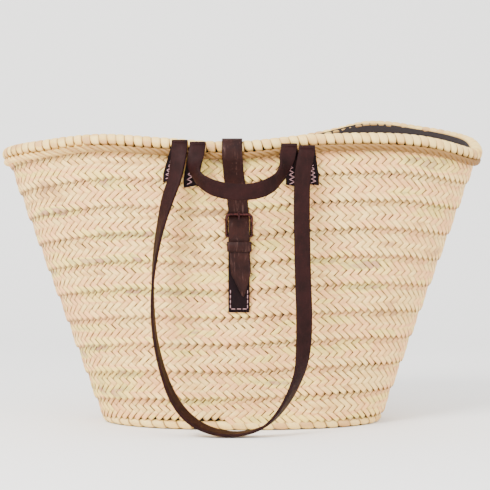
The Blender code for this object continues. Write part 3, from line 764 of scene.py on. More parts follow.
@dataclass
class Braid:
    """The palm-leaf braid: four rows of slanted floats to a course, sewn in a rising spiral."""

    form: BasketForm
    wardrobe: Wardrobe
    pitch: float = 0.0092
    slant: float = math.radians(41)
    float_length: float = 0.0122
    float_width: float = 0.0061
    tuck: float = 0.0024
    tuck_drop: float = 0.0019
    lip: float = 0.0004
    lip_drop: float = 0.0001
    shoulder: float = 0.00025
    crown: float = 0.0004
    edge_drop: float = 0.0008
    dome: float = 0.00028
    dome_side: float = 0.00022
    dome_edge: float = -0.00002
    course_rows: int = 4
    first_seam: float = 0.5
    lower_share: float = 0.53
    shingle_tilt: float = math.radians(4.5)
    row_out: tuple[float, ...] = (0.0019, 0.0012, 0.0006, -0.0002)
    # painted light and shade for each row, from the bottom: the proud bottom row lighter, the recessed top
    # row under the course above darker
    row_painted_shade: tuple[float, ...] = (1.04, 1.0, 0.99, 0.86)
    shade_spread: tuple[float, float] = (-0.07, 0.05)
    tint_span: tuple[float, float] = (0.39, 0.61)
    sway: float = 0.06
    smallest: tuple[float, float, float] = (0.96, 0.86, 0.8)
    largest: tuple[float, float, float] = (1.05, 1.02, 1.35)
    top_row_length: float = 0.94
    lowest_row: float = -0.05
    top_gap: float = 0.4
    seed: int = 7
    seed_step: int = 17
    ground_in: float = 0.0016
    ground_thickness: float = 0.0026

    def float_mesh(self) -> bpy.types.Mesh:
        """Build one float: a domed strip whose ends dip under its neighbours."""
        half, wide = self.float_length / 2, self.float_width / 2
        climb = ((half + self.tuck, -self.tuck_drop), (half + self.lip, -self.lip_drop),
                 (half * 0.72, self.shoulder), (half * 0.2, self.crown))
        along = [(-x, height) for x, height in climb] + list(climb[::-1])
        slope = ((wide, -self.edge_drop), (wide * 0.95, self.dome_edge), (wide * 0.45, self.dome_side))
        across = [(-y, height) for y, height in slope] + [(0.0, self.dome)] + list(slope[::-1])
        points, uvs, faces = [], [], []
        length = along[-1][0] - along[0][0]
        for x, height in along:
            for y, dome in across:
                points.append(Vector((x, y, height + dome)))
                uvs.append(((x - along[0][0]) / length, y / self.float_width + 0.5))
        width = len(across)
        for i in range(len(along) - 1):
            for j in range(width - 1):
                a = i * width + j
                faces.append((a, a + width, a + width + 1, a + 1))
        return mesh_from(points, faces, uvs)

    def tree(self, tile: bpy.types.Object) -> bpy.types.NodeTree:
        """Build the tree that lays the braid's four rows along a guide.

        Args:
            tile: Object that holds one float.

        Returns:
            The Geometry Nodes tree.
        """
        tree, inlet, outlet = new_tree("braid_course", {
            "Pitch": ("NodeSocketFloat", self.pitch), "Slant": ("NodeSocketFloat", self.slant),
            "Tilt": ("NodeSocketFloat", self.shingle_tilt), "Seed": ("NodeSocketInt", self.seed),
            "Lowest Row": ("NodeSocketFloat", 0.0), "Highest Row": ("NodeSocketFloat", 40.0),
            "Float": ("NodeSocketObject", tile), "Leaf": ("NodeSocketMaterial", None)})
        curve = add_node(tree, "GeometryNodeMeshToCurve", links={0: inlet.outputs["Geometry"]})
        spaced = add_node(tree, "GeometryNodeResampleCurve",
                          links={"Curve": curve.outputs[0], "Length": inlet.outputs["Pitch"]},
                          mode="LENGTH")
        tangent = add_node(tree, "GeometryNodeInputTangent")
        kept = add_node(tree, "GeometryNodeStoreNamedAttribute", {"Name": "run_way"},
                        {"Geometry": spaced.outputs[0], "Value": tangent.outputs[0]},
                        data_type="FLOAT_VECTOR", domain="POINT")
        fields = {name: add_node(tree, "GeometryNodeInputNamedAttribute", {"Name": name},
                                 data_type=kind).outputs[0]
                  for name, kind in (("run_way", "FLOAT_VECTOR"), ("out", "FLOAT_VECTOR"),
                                     ("rise", "FLOAT_VECTOR"), ("level", "FLOAT"))}
        turn = add_node(tree, "FunctionNodeAxesToRotation",
                        links={0: fields["out"], 1: fields["run_way"]},
                        primary_axis="Z", secondary_axis="X")
        strip = add_node(tree, "GeometryNodeObjectInfo", links={"Object": inlet.outputs["Float"]})
        nodes = CourseNodes(
            seed=inlet.outputs["Seed"], slant=inlet.outputs["Slant"], tilt=inlet.outputs["Tilt"],
            lowest=inlet.outputs["Lowest Row"], highest=inlet.outputs["Highest Row"],
            points=kept.outputs[0], run=fields["run_way"], out=fields["out"],
            rise=fields["rise"], level=fields["level"], turn=turn.outputs[0],
            strip=strip.outputs["Geometry"])
        join = add_node(tree, "GeometryNodeJoinGeometry")
        for row in range(self.course_rows):
            tree.links.new(self.lay_row(tree, row, nodes), join.inputs[0])
        end_tree(tree, outlet, join.outputs[0], inlet.outputs["Leaf"])
        return tree

    def lay_row(self, tree: bpy.types.NodeTree, row: int, nodes: CourseNodes) -> bpy.types.NodeSocket:
        """Add the nodes of one row of floats.

        Args:
            tree: The braid's tree.
            row: Row number in the course, from the bottom.
            nodes: The sockets that every row reads.

        Returns:
            Output socket with the row's floats.
        """
        steps = row - (self.course_rows - 1) / 2
        offset = None
        for scale, way in ((steps, nodes.rise), (self.row_out[row], nodes.out),
                           (self.pitch / 2 * (row % 2), nodes.run)):
            part = add_node(tree, "ShaderNodeVectorMath", {"Scale": scale}, {0: way}, operation="SCALE")
            offset = part if offset is None else add_node(
                tree, "ShaderNodeVectorMath", links={0: offset.outputs[0], 1: part.outputs[0]},
                operation="ADD")
        moved = add_node(tree, "GeometryNodeSetPosition",
                         links={"Geometry": nodes.points, "Offset": offset.outputs[0]})
        level = add_node(tree, "ShaderNodeMath", {1: steps}, {0: nodes.level}, operation="ADD")
        above = add_node(tree, "FunctionNodeCompare", links={0: level.outputs[0], 1: nodes.lowest},
                         operation="GREATER_THAN")
        below = add_node(tree, "FunctionNodeCompare", links={0: level.outputs[0], 1: nodes.highest},
                         operation="LESS_THAN")
        inside = add_node(tree, "FunctionNodeBooleanMath",
                          links={0: above.outputs[0], 1: below.outputs[0]}, operation="AND")
        sway_seed, size_seed, tint_seed = (
            add_node(tree, "ShaderNodeMath", {1: float(row * self.seed_step + step)},
                     {0: nodes.seed}, operation="ADD").outputs[0] for step in (0, 5, 9))
        sway = add_node(tree, "FunctionNodeRandomValue", {2: -self.sway, 3: self.sway},
                        {"Seed": sway_seed}, data_type="FLOAT")
        slant = add_node(tree, "ShaderNodeMath", {1: -1.0 if row % 2 == 0 else 1.0}, {0: nodes.slant},
                         operation="MULTIPLY")
        slant = add_node(tree, "ShaderNodeMath", links={0: slant.outputs[0], 1: sway.outputs[1]},
                         operation="ADD")
        lean = add_node(tree, "ShaderNodeMath", {1: -1.0}, {0: nodes.tilt}, operation="MULTIPLY")
        turned = nodes.turn
        for axis, angle in (("X", lean), ("Z", slant)):
            bend = add_node(tree, "ShaderNodeCombineXYZ", links={axis: angle.outputs[0]})
            turned = add_node(tree, "FunctionNodeRotateRotation", links={0: turned, 1: bend.outputs[0]},
                              rotation_space="LOCAL").outputs[0]
        short = self.top_row_length if row == self.course_rows - 1 else 1.0
        smallest = (self.smallest[0] * short, *self.smallest[1:])
        largest = (self.largest[0] * short, *self.largest[1:])
        size = add_node(tree, "FunctionNodeRandomValue", {0: smallest, 1: largest}, {"Seed": size_seed},
                        data_type="FLOAT_VECTOR")
        placed = add_node(tree, "GeometryNodeInstanceOnPoints",
                          links={"Points": moved.outputs[0], "Selection": inside.outputs[0],
                                 "Instance": nodes.strip, "Rotation": turned,
                                 "Scale": size.outputs[0]})
        tinted = store_random(tree, placed.outputs[0], "tint", self.tint_span, tint_seed)
        # each row's colour is scaled by its painted light and shade, with a random spread of tone
        low, high = (self.row_painted_shade[row] + spread for spread in self.shade_spread)
        return store_random(tree, tinted, "shade", (low, high), size_seed)

    def spiral(self, low: float, high: float) -> bpy.types.Mesh:
        """Build the guide of the braid's middle line between two levels.

        Args:
            low: Row number where the guide starts.
            high: Row number where it ends.

        Returns:
            Guide mesh with the wall's outward way, the step one row up, and the level.
        """
        start = (low - self.first_seam - self.course_rows / 2) / self.course_rows * math.tau
        end = (high - self.first_seam - self.course_rows / 2) / self.course_rows * math.tau
        count = round((end - start) / math.radians(3))
        line, outs, rises, levels = [], [], [], []
        for i in range(count + 1):
            angle = start + (end - start) * i / count
            row = angle / math.tau * self.course_rows + self.first_seam + self.course_rows / 2
            line.append(self.form.row_point(angle, row))
            outs.append(self.form.out_at(angle, row))
            rises.append(self.form.row_point(angle, row + 0.5) - self.form.row_point(angle, row - 0.5))
            levels.append(row)
        return guide_mesh([line], out=outs, rise=rises, level=levels)

    def build(self) -> None:
        """Build the wall: its ground, a dark sheet of painted shade behind the floats, and the braid in two
        stretches.
        """
        tile = bpy.data.objects.new("float_tile", self.float_mesh())
        tree = self.tree(tile)
        leaf = self.wardrobe.get(Finish.BRAID)
        rows = self.form.rows
        names = ("wall_braid_lower", "wall_braid_upper")
        joint = rows * self.lower_share + self.first_seam
        spans = ((-2.0, joint), (joint, rows + 2.0))
        for name, (low, high) in zip(names, spans):
            piece = grow(name, self.spiral(low, high), tree, {
                "Pitch": self.pitch, "Slant": self.slant, "Tilt": self.shingle_tilt,
                "Seed": self.seed + int(low), "Lowest Row": self.lowest_row,
                "Highest Row": rows - self.top_gap,
                "Float": tile, "Leaf": leaf}, leaf)
            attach(piece, BODY)
            LOG.info("%s: %d faces", piece.name, len(piece.data.polygons))
        bpy.data.objects.remove(tile)
        # the wall's ground: a dark sheet behind the floats, painted shade that shows in their gaps
        angles = self.form.even_angles(160)
        rings = [[self.form.row_point(a, row, -self.ground_in) for a in angles]
                 for row in np.linspace(0, rows, 13)]
        ground = add_object("wall_ground", ring_shell(rings), self.wardrobe.get(Finish.SHADE_BACKING))
        thicken(ground, self.ground_thickness)
        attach(ground, BODY)
        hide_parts("wall_braid")


@dataclass
class Bands:
    """Short leaf pieces wrapped side by side round an edge of the basket."""

    form: BasketForm
    wardrobe: Wardrobe
    rim_section: tuple[tuple[float, float], ...] = (
        (-0.0098, -0.0064), (-0.0101, -0.0046), (-0.0094, -0.0026), (-0.0072, -0.0009),
        (-0.0036, -0.0002), (-0.0002, -0.0010), (0.0020, -0.0030), (0.0031, -0.0062),
        (0.0028, -0.0096), (0.0012, -0.0122), (-0.0012, -0.0128),
    )
    rim_spacing: float = 0.0100
    rim_shear: float = 0.0062
    base_radius: float = 0.0046
    base_lift: float = 0.0008
    roll_inset: float = 0.0014
    base_spacing: float = 0.0150
    base_shear: float = 0.0100
    puff: float = 0.0009
    pinch: float = 0.3
    overlap: float = 0.22
    roll_flatness: float = 0.94
    tint_span: tuple[float, float] = (0.1, 0.9)
    shade_span: tuple[float, float] = (0.93, 1.03)
    seed: int = 21

    def band_mesh(self, section: Sequence[tuple[float, float]], width: float,
                  shear: float) -> bpy.types.Mesh:
        """Build one band: a section pushed along X, puffed in the middle and sheared.

        Args:
            section: Y (outwards) and Z places, from the inner side over to the outer side.
            width: Length along X.
            shear: How far the section's end lies along X past its start.

        Returns:
            The band's mesh, facing out.
        """
        stations = ((-0.53, -0.0020), (-0.47, -0.0004), (-0.2, 0.6), (0.2, 0.75), (0.42, 0.1),
                    (0.49, -0.0006), (0.53, -0.0020))
        middle = np.mean(np.array(section), axis=0)
        points, uvs, faces = [], [], []
        last = len(section) - 1
        for share, lift in stations:
            rise = lift if abs(lift) < 0.01 else lift * self.puff
            for k, (y, z) in enumerate(section):
                away = np.array((y, z)) - middle
                away = away / max(float(np.linalg.norm(away)), 1e-6) * rise
                share_down = k / last
                narrow = 1.0 - self.pinch * max(0.0, share_down - 0.7) / 0.3
                narrow += self.overlap * max(0.0, 0.4 - share_down) / 0.4
                along = share * width * narrow + shear * (share_down - 0.5)
                points.append(Vector((along, -y - away[0], z + away[1])))
                uvs.append((share_down, share + 0.5))
        count = len(section)
        for i in range(len(stations) - 1):
            for k in range(count - 1):
                a = i * count + k
                faces.append((a, a + 1, a + count + 1, a + count))
        return mesh_from(points, faces, uvs)

    def tree(self) -> bpy.types.NodeTree:
        """Build the tree that sets bands side by side along a closed guide."""
        tree, inlet, outlet = new_tree("leaf_bands", {
            "Count": ("NodeSocketInt", 100), "Seed": ("NodeSocketInt", self.seed),
            "Band": ("NodeSocketObject", None), "Leaf": ("NodeSocketMaterial", None)})
        curve = add_node(tree, "GeometryNodeMeshToCurve", links={0: inlet.outputs["Geometry"]})
        spaced = add_node(tree, "GeometryNodeResampleCurve",
                          links={"Curve": curve.outputs[0], "Count": inlet.outputs["Count"]},
                          mode="COUNT")
        tangent = add_node(tree, "GeometryNodeInputTangent")
        inward = add_node(tree, "GeometryNodeInputNamedAttribute", {"Name": "inward"},
                          data_type="FLOAT_VECTOR")
        turn = add_node(tree, "FunctionNodeAxesToRotation",
                        links={0: tangent.outputs[0], 1: inward.outputs[0]},
                        primary_axis="X", secondary_axis="Y")
        source = add_node(tree, "GeometryNodeObjectInfo", links={"Object": inlet.outputs["Band"]})
        sizes = add_node(tree, "FunctionNodeRandomValue", {0: (0.97, 0.97, 0.95), 1: (1.08, 1.03, 1.04)},
                         {"Seed": inlet.outputs["Seed"]}, data_type="FLOAT_VECTOR")
        placed = add_node(tree, "GeometryNodeInstanceOnPoints",
                          links={"Points": spaced.outputs[0], "Instance": source.outputs["Geometry"],
                                 "Rotation": turn.outputs[0], "Scale": sizes.outputs[0]})
        banded = placed.outputs[0]
        for name, span, step in (("tint", self.tint_span, 3), ("shade", self.shade_span, 8)):
            seed = add_node(tree, "ShaderNodeMath", {1: float(step)},
                            {0: inlet.outputs["Seed"]}, operation="ADD")
            banded = store_random(tree, banded, name, span, seed.outputs[0])
        end_tree(tree, outlet, banded, inlet.outputs["Leaf"])
        return tree

    def edge_guide(self, line: Sequence[Vector]) -> tuple[bpy.types.Mesh, float]:
        """Make a closed guide with level inward directions.

        Args:
            line: Points of the closed line, anticlockwise from above.

        Returns:
            The guide and the line's length.
        """
        inward = []
        for i, _ in enumerate(line):
            run = line[(i + 1) % len(line)] - line[i - 1]
            inward.append(UP.cross(run).normalized())
        length = sum((b - a).length for a, b in zip(line, list(line[1:]) + [line[0]]))
        return guide_mesh([line], closed=True, inward=inward), length

    def build(self) -> None:
        """Build the rim's wrap and the base's edge roll."""
        tree = self.tree()
        leaf = self.wardrobe.get(Finish.WRAP)
        angles = self.form.even_angles(240)
        rim = [self.form.rim_point(a, 0.0, 0.0) for a in angles]
        roll = [self.form.point(a, 0.0, -self.roll_inset) + UP * (self.base_radius + self.base_lift)
                for a in angles]
        circle = [(self.base_radius * math.cos(a), self.base_radius * self.roll_flatness * math.sin(a))
                  for a in (math.radians(150 - 30 * k) for k in range(11))]
        jobs = (("rim_wrap_bands", rim, self.rim_section, self.rim_spacing, self.rim_shear,
                 ("rim_wrap", "rim_core"), "palm_leaf"),
                ("base_edge_bands", roll, circle, self.base_spacing, self.base_shear,
                 ("base_edge_roll",), "edge_palm_leaf"))
        for name, line, section, spacing, shear, nodes, slot in jobs:
            band = bpy.data.objects.new(name + "_tile", self.band_mesh(section, spacing, shear))
            guide, length = self.edge_guide(line)
            piece = grow(name, guide, tree, {"Count": round(length / spacing), "Seed": self.seed,
                                             "Band": band, "Leaf": leaf}, leaf)
            bpy.data.objects.remove(band)
            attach(piece, BODY)
            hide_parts(*nodes)
            LOG.info("%s: %d faces", piece.name, len(piece.data.polygons))


def sweep_tree() -> bpy.types.NodeTree:
    """Build the tree that sweeps a round section along guides and gives it a UV map."""
    tree, inlet, outlet = new_tree("round_sweep", {
        "Radius": ("NodeSocketFloat", 0.001), "Sides": ("NodeSocketInt", 8),
        "Finish": ("NodeSocketMaterial", None)})
    curve = add_node(tree, "GeometryNodeMeshToCurve", links={0: inlet.outputs["Geometry"]})
    along = add_node(tree, "GeometryNodeSplineParameter")
    kept = add_node(tree, "GeometryNodeStoreNamedAttribute", {"Name": "along"},
                    {"Geometry": curve.outputs[0], "Value": along.outputs["Length"]},
                    data_type="FLOAT", domain="POINT")
    circle = add_node(tree, "GeometryNodeCurvePrimitiveCircle",
                      links={"Resolution": inlet.outputs["Sides"], "Radius": inlet.outputs["Radius"]})
    around = add_node(tree, "GeometryNodeSplineParameter")
    ring = add_node(tree, "GeometryNodeStoreNamedAttribute", {"Name": "around"},
                    {"Geometry": circle.outputs[0], "Value": around.outputs["Factor"]},
                    data_type="FLOAT", domain="POINT")
    tube = add_node(tree, "GeometryNodeCurveToMesh", {"Fill Caps": True},
                    {"Curve": kept.outputs[0], "Profile Curve": ring.outputs[0]})
    u = add_node(tree, "GeometryNodeInputNamedAttribute", {"Name": "along"}, data_type="FLOAT")
    v = add_node(tree, "GeometryNodeInputNamedAttribute", {"Name": "around"}, data_type="FLOAT")
    pair = add_node(tree, "ShaderNodeCombineXYZ", links={"X": u.outputs[0], "Y": v.outputs[0]})
    mapped = add_node(tree, "GeometryNodeStoreNamedAttribute", {"Name": "run"},
                      {"Geometry": tube.outputs[0], "Value": pair.outputs[0]},
                      data_type="FLOAT2", domain="CORNER")
    end_tree(tree, outlet, mapped.outputs[0], inlet.outputs["Finish"])
    return tree


@dataclass
class Rope:
    """Three twisted strands of leaf under the rim's wrap."""

    form: BasketForm
    wardrobe: Wardrobe
    out: float = 0.0040
    drop: float = -0.0164
    strand_radius: float = 0.0020
    helix_radius: float = 0.0021
    strands: int = 3
    lead: float = 0.027
    first_tint: float = 0.2
    tint_step: float = 0.3
    shade: float = 0.98

    def build(self, tree: bpy.types.NodeTree) -> None:
        """Build the rope with the sweep tree.

        Args:
            tree: Sweep tree.
        """
        angles = self.form.even_angles(1080)
        line = [self.form.rim_point(a, self.out, self.drop) for a in angles]
        length = sum((b - a).length for a, b in zip(line, line[1:] + line[:1]))
        turns = round(length / self.lead)
        lines, tints, shades = [], [], []
        for strand in range(self.strands):
            start = math.tau * strand / self.strands
            path = []
            for i, p in enumerate(line):
                run = (line[(i + 1) % len(line)] - line[i - 1]).normalized()
                side = run.cross(UP).normalized()
                phase = start - math.tau * turns * i / len(line)
                path.append(p + (side * math.cos(phase) + UP * math.sin(phase)) * self.helix_radius)
            lines.append(path)
            tints += [self.first_tint + self.tint_step * strand] * len(path)
            shades += [self.shade] * len(path)
        guide = guide_mesh(lines, closed=True, tint=tints, shade=shades)
        leaf = self.wardrobe.get(Finish.ROPE)
        piece = grow("rim_rope_strands", guide, tree,
                     {"Radius": self.strand_radius, "Sides": 7, "Finish": leaf}, leaf)
        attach(piece, BODY)
        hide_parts("rim_rope")
        LOG.info("%s: %d faces", piece.name, len(piece.data.polygons))


@dataclass
class BaseBraid:
    """The same braid laid flat in ovals under the basket.

    Its guides lie at one level of rows, so that none is cut off at the wall's top or foot.
    """

    form: BasketForm
    wardrobe: Wardrobe
    braid: Braid
    first_inset: float = 0.0235
    course_width: float = 0.0308
    courses: int = 3
    height: float = 0.0036
    points_round: int = 160
    level: float = 5.0
    seed: int = 3
    ground_inset: float = 0.0060
    ground_span: tuple[float, float] = (0.0050, 0.0062)

    def build(self) -> None:
        """Build the base from oval courses."""
        lines, outs, rises, levels = [], [], [], []
        for course in range(self.courses):
            inset = self.first_inset + self.course_width * course
            line = []
            for i in range(self.points_round):
                angle = math.tau * i / self.points_round
                line.append(self.form.point(angle, 0.0, -inset) + UP * self.height)
                inward = self.form.point(angle, 0.0, -inset - 0.01) - self.form.point(angle, 0.0, -inset)
                outs.append(-UP)
                rises.append(-inward.normalized() * self.course_width / self.braid.course_rows)
                levels.append(self.level)
            lines.append(line)
        tile = bpy.data.objects.new("base_float_tile", self.braid.float_mesh())
        tree = self.braid.tree(tile)
        leaf = self.wardrobe.get(Finish.BRAID)
        piece = grow("base_braid", guide_mesh(lines, closed=True, out=outs, rise=rises, level=levels),
                     tree, {"Pitch": self.braid.pitch, "Slant": self.braid.slant, "Tilt": 0.0,
                            "Seed": self.seed, "Lowest Row": 0.0, "Highest Row": self.form.rows,
                            "Float": tile, "Leaf": leaf}, leaf)
        bpy.data.objects.remove(tile)
        ground = self.ground()
        for item in (piece, ground):
            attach(item, BODY)
        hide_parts("base_mat")
        LOG.info("%s: %d faces", piece.name, len(piece.data.polygons))

    def ground(self) -> bpy.types.Object:
        """Build the flat dark layer behind the base's floats: painted shade that shows in their gaps."""
        angles = self.form.even_angles(120)
        rings = [[self.form.point(a, 0.0, -self.ground_inset) + UP * z for a in angles]
                 for z in self.ground_span]
        bottom = list(range(len(angles)))[::-1]
        top = [i + len(angles) for i in range(len(angles))]
        mesh = ring_shell(rings)
        form = bmesh.new()
        form.from_mesh(mesh)
        form.verts.ensure_lookup_table()
        for ring in (bottom, top):
            form.faces.new([form.verts[i] for i in ring])
        form.to_mesh(mesh)
        form.free()
        return add_object("base_ground", mesh, self.wardrobe.get(Finish.SHADE_BACKING))


@dataclass
class Lining:
    """The cotton bag inside, sewn under the rim's wrap and slack enough to ripple."""

    form: BasketForm
    wardrobe: Wardrobe
    floor: float = 0.0122
    inset: float = 0.0072
    ripple: float = 0.0013
    ripple_counts: tuple[int, int] = (17, 31)
    floor_ripple: float = 0.0009
    hem_share: float = 0.07
    levels: int = 22
    top_drop: float = -0.0036
    top_inset: float = 0.0106
    thickness: float = 0.0011

    def build(self) -> None:
        """Build the lining's wall and floor as one cloth."""
        angles = self.form.even_angles(260)
        rings = []
        for level in np.linspace(0.0, 1.0, self.levels):
            ring = []
            for a in angles:
                top = self.form.rim_top(a) + self.top_drop
                height = self.floor + (top - self.floor) * level
                slack = math.sin(math.pi * min(1.0, level * 1.02))
                broad, fine = self.ripple_counts
                wave = math.sin(broad * a + 2.2 * level) + 0.6 * math.sin(fine * a - 3.1 * level + 1.0)
                inset = self.inset + self.ripple * slack * (1.0 + 0.55 * wave)
                blend = max(0.0, (level - (1 - self.hem_share)) / self.hem_share)
                inset = inset * (1 - blend) + self.top_inset * blend
                ring.append(self.form.point(a, height, -inset))
            rings.append(ring)
        floor_rings = [[Vector((p.x * 0.02, p.y * 0.02, p.z)) for p in rings[0]]]
        for share in (0.25, 0.5, 0.75):
            floor_rings.append([Vector((p.x * share, p.y * share,
                                        p.z + self.floor_ripple * math.sin(9 * share + p.x * 40)))
                                for p in rings[0]])
        mesh = ring_shell(floor_rings + rings, floor=True)
        mesh.flip_normals()
        cloth = add_object("lining_cloth", mesh, self.wardrobe.get(Finish.COTTON))
        thicken(cloth, self.thickness)
        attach(cloth, BODY)
        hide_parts("lining")
        LOG.info("%s: %d faces", cloth.name, len(cloth.data.polygons))


# ---------------------------------------------------------------------------
# Leather
# ---------------------------------------------------------------------------


def slab(stations: Sequence[Station], thickness: float, edge: float = 0.0007) -> bpy.types.Mesh:
    """Make a strap with rounded edges through stations.

    Args:
        stations: Middle point and half-width vector of each section.
        thickness: The strap's thickness.
        edge: How far the rounded edge reaches in.

    Returns:
        The strap's closed mesh, with a UV map in metres.
    """
    half = thickness / 2
    rounds = ((1.0, -1.0), (0.3, -0.86), (0.0, -0.3), (0.0, 0.3), (0.3, 0.86), (1.0, 1.0))
    points, uvs, faces = [], [], []
    run_length = 0.0
    for i, (centre, across) in enumerate(stations):
        before = stations[max(i - 1, 0)][0]
        after = stations[min(i + 1, len(stations) - 1)][0]
        run = (after - before).normalized()
        if i:
            run_length += (centre - before).length
        wide = across.length
        side = across.normalized()
        normal = side.cross(run).normalized()
        section = [(wide - min(edge, wide * 0.5) * a, half * b) for a, b in rounds]
        section += [(wide * s, half * 1.0) for s in (0.45, -0.45)]
        section += [(-u, -v) for u, v in section]
        for u, v in section:
            points.append(centre + side * u + normal * v)
            uvs.append((run_length, u))
    count = len(section)
    for i in range(len(stations) - 1):
        for k in range(count):
            j = (k + 1) % count
            a, b = i * count, (i + 1) * count
            faces.append((a + k, a + j, b + j, b + k))
    faces.append(tuple(reversed(range(count))))
    faces.append(tuple(range((len(stations) - 1) * count, len(stations) * count)))
    mesh = mesh_from(points, faces, uvs)
    face_outward(mesh)
    return mesh


class Side(Enum):
    """Long side of the basket that a handle hangs on, as the sign of its Y."""

    FRONT = -1
    REAR = 1


@dataclass(frozen=True)
class HandleRoute:
    """Where one handle folds over the rim and how its loop hangs.

    A row of the loop is X, Y, Z and the strap's turn about its own run in degrees.
    """

    name: str
    side: Side
    left: tuple[float, float]
    right: tuple[float, float]
    foot_shifts: tuple[float, float]
    tab_lengths: tuple[float, float]
    seam_shifts: tuple[float, float] = (0.0, 0.0)
    rows: tuple[tuple[float, float, float, float], ...] = ()
    half_spread: float = 0.0
    bottom: float = 0.0


@dataclass
class Handle:
    """One leather handle: two sewn tabs, their folds and the loop that swings on the folds."""

    form: BasketForm
    wardrobe: Wardrobe
    route: HandleRoute
    width: float = 0.0175
    thickness: float = 0.003
    fold_radius: float = 0.0022
    fold_out: float = 0.0118
    hanging_lean: float = 0.018
    hanging_radius: float = 0.075
    leg_turn: float = 60.0
    thread_radius: float = 0.00046
    zigzag_steps: int = 9
    zigzag_reach: float = 0.0027

    @property
    def body(self) -> str:
        """Name of the body that the loop rides."""
        return self.route.name

    @property
    def depth(self) -> float:
        """Distance of the hinge line from the middle plane."""
        return self.form.wall_depth(max(self.route.left[1], self.route.right[1])) + self.fold_out

    def loop_rows(self) -> list[tuple[float, float, float, float]]:
        """List the loop's rows: the route's own, or a plain hanging arc."""
        route = self.route
        if route.rows:
            return list(route.rows)
        side = route.side.value
        middle = (route.left[0] + route.right[0]) / 2
        depth = side * (self.depth + self.fold_radius)
        lean = side * self.hanging_lean
        radius = min(route.half_spread, self.hanging_radius)
        shoulder = route.bottom + radius
        legs = []
        for fold, sign in ((route.left, -1), (route.right, 1)):
            legs.append([(fold[0] + (middle + sign * route.half_spread - fold[0]) * share,
                          depth + lean * share, fold[1] + (shoulder - fold[1]) * share,
                          self.leg_turn * share) for share in (0.12, 0.4, 0.7)])
        arc = []
        for step in range(9):
            angle = math.pi * step / 8
            arc.append((middle - route.half_spread * math.cos(angle), depth + lean,
                        shoulder - radius * math.sin(angle),
                        self.leg_turn + (90 - self.leg_turn) * math.sin(angle)))
        return legs[0] + arc + legs[1][::-1]

    def loop_stations(self) -> list[Station]:
        """List the loop's stations, from the left fold round to the right one."""
        side = self.route.side.value
        free = side * (self.depth + self.fold_radius)
        ends = [(x, free, z, 0.0) for x, z in (self.route.left, self.route.right)]
        line = smooth_line([ends[0], *self.loop_rows(), ends[1]], 7)
        beyond = [np.array((x, free, z + 0.004, 0.0)) for x, z in (self.route.left, self.route.right)]
        line = [beyond[0], *line, beyond[1]]
        spots = [Vector(row[:3]) for row in line]
        stations = []
        for i in range(1, len(line) - 1):
            run = (spots[i + 1] - spots[i - 1]).normalized()
            across = Vector((0.0, side, 0.0)).cross(run).normalized()
            turn = Matrix.Rotation(-side * math.radians(line[i][3]), 3, run)
            stations.append((spots[i], turn @ across * self.width / 2))
        half = Vector((self.width / 2, 0.0, 0.0))
        first, last = stations[0][1], stations[-1][1]
        stations[0] = (spots[1], half if first.x > 0 else -half)
        stations[-1] = (spots[-2], half if last.x > 0 else -half)
        return stations

    def fold_stations(self, fold: tuple[float, float]) -> list[Station]:
        """List the fold's stations, from the tab's side over to the loop's side.

        Args:
            fold: X and Z of the fold's hinge.
        """
        side = self.route.side.value
        half = Vector((self.width / 2, 0.0, 0.0))
        centre = Vector((fold[0], side * self.depth, fold[1]))
        stations = []
        for step in range(13):
            turn = math.pi * step / 12
            offset = Vector((0.0, -side * math.cos(turn), math.sin(turn))) * self.fold_radius
            stations.append((centre + offset, half))
        return stations

    def tab_stations(self, fold: tuple[float, float], shift: float, length: float) -> list[Station]:
        """List the tab's stations from its foot up to the fold.

        Args:
            fold: X and Z of the fold's hinge.
            shift: How far the foot lies to one side.
            length: Height of the fold above the foot.
        """
        side = self.route.side.value
        x, top = fold
        foot = top - length
        out_top = self.depth - self.fold_radius
        lie = self.form.wall_depth(foot) + self.thickness / 2 + 0.0016
        rows = ((foot, lie), (foot + 0.006, lie + 0.0004), (foot + 0.012, lie + 0.0010),
                (top - 0.0175, out_top - 0.0036), (top - 0.0105, out_top - 0.0004),
                (top - 0.005, out_top), (top, out_top))
        line = smooth_line([(x + shift * min(1.0, (top - z) / length * 1.3), side * y, z)
                            for z, y in rows], 4)
        stations = []
        for row in line:
            tilt = min(1.0, (top - row[2]) / 0.012)
            half = Vector((self.width / 2, 0.0, -shift * 0.22 * tilt))
            stations.append((Vector(row), half))
        return stations

    def seam(self, stations: Sequence[Station], shift: float) -> list[Vector]:
        """Lay the zigzag seam's line over the sewn part of a tab.

        Args:
            stations: The tab's stations, from its foot.
            shift: How far the seam lies to one side of the tab's middle.
        """
        side = self.route.side.value
        foot, knee = stations[0][0], stations[13][0]
        levels = [p.z for p, _ in stations]
        line = []
        for step in range(self.zigzag_steps * 4 + 1):
            share = 0.07 + 0.86 * step / (self.zigzag_steps * 4)
            z = foot.z + (knee.z - foot.z) * share
            x = float(np.interp(z, levels, [p.x for p, _ in stations]))
            y = float(np.interp(z, levels, [abs(p.y) for p, _ in stations]))
            phase = step / 4 % 2
            sway = (phase if phase < 1 else 2 - phase) * 2 - 1
            away = self.thickness / 2 + self.thread_radius * (0.5 if abs(sway) < 0.9 else -0.6)
            line.append(Vector((x + shift + sway * self.zigzag_reach, side * (y + away), z)))
        return line

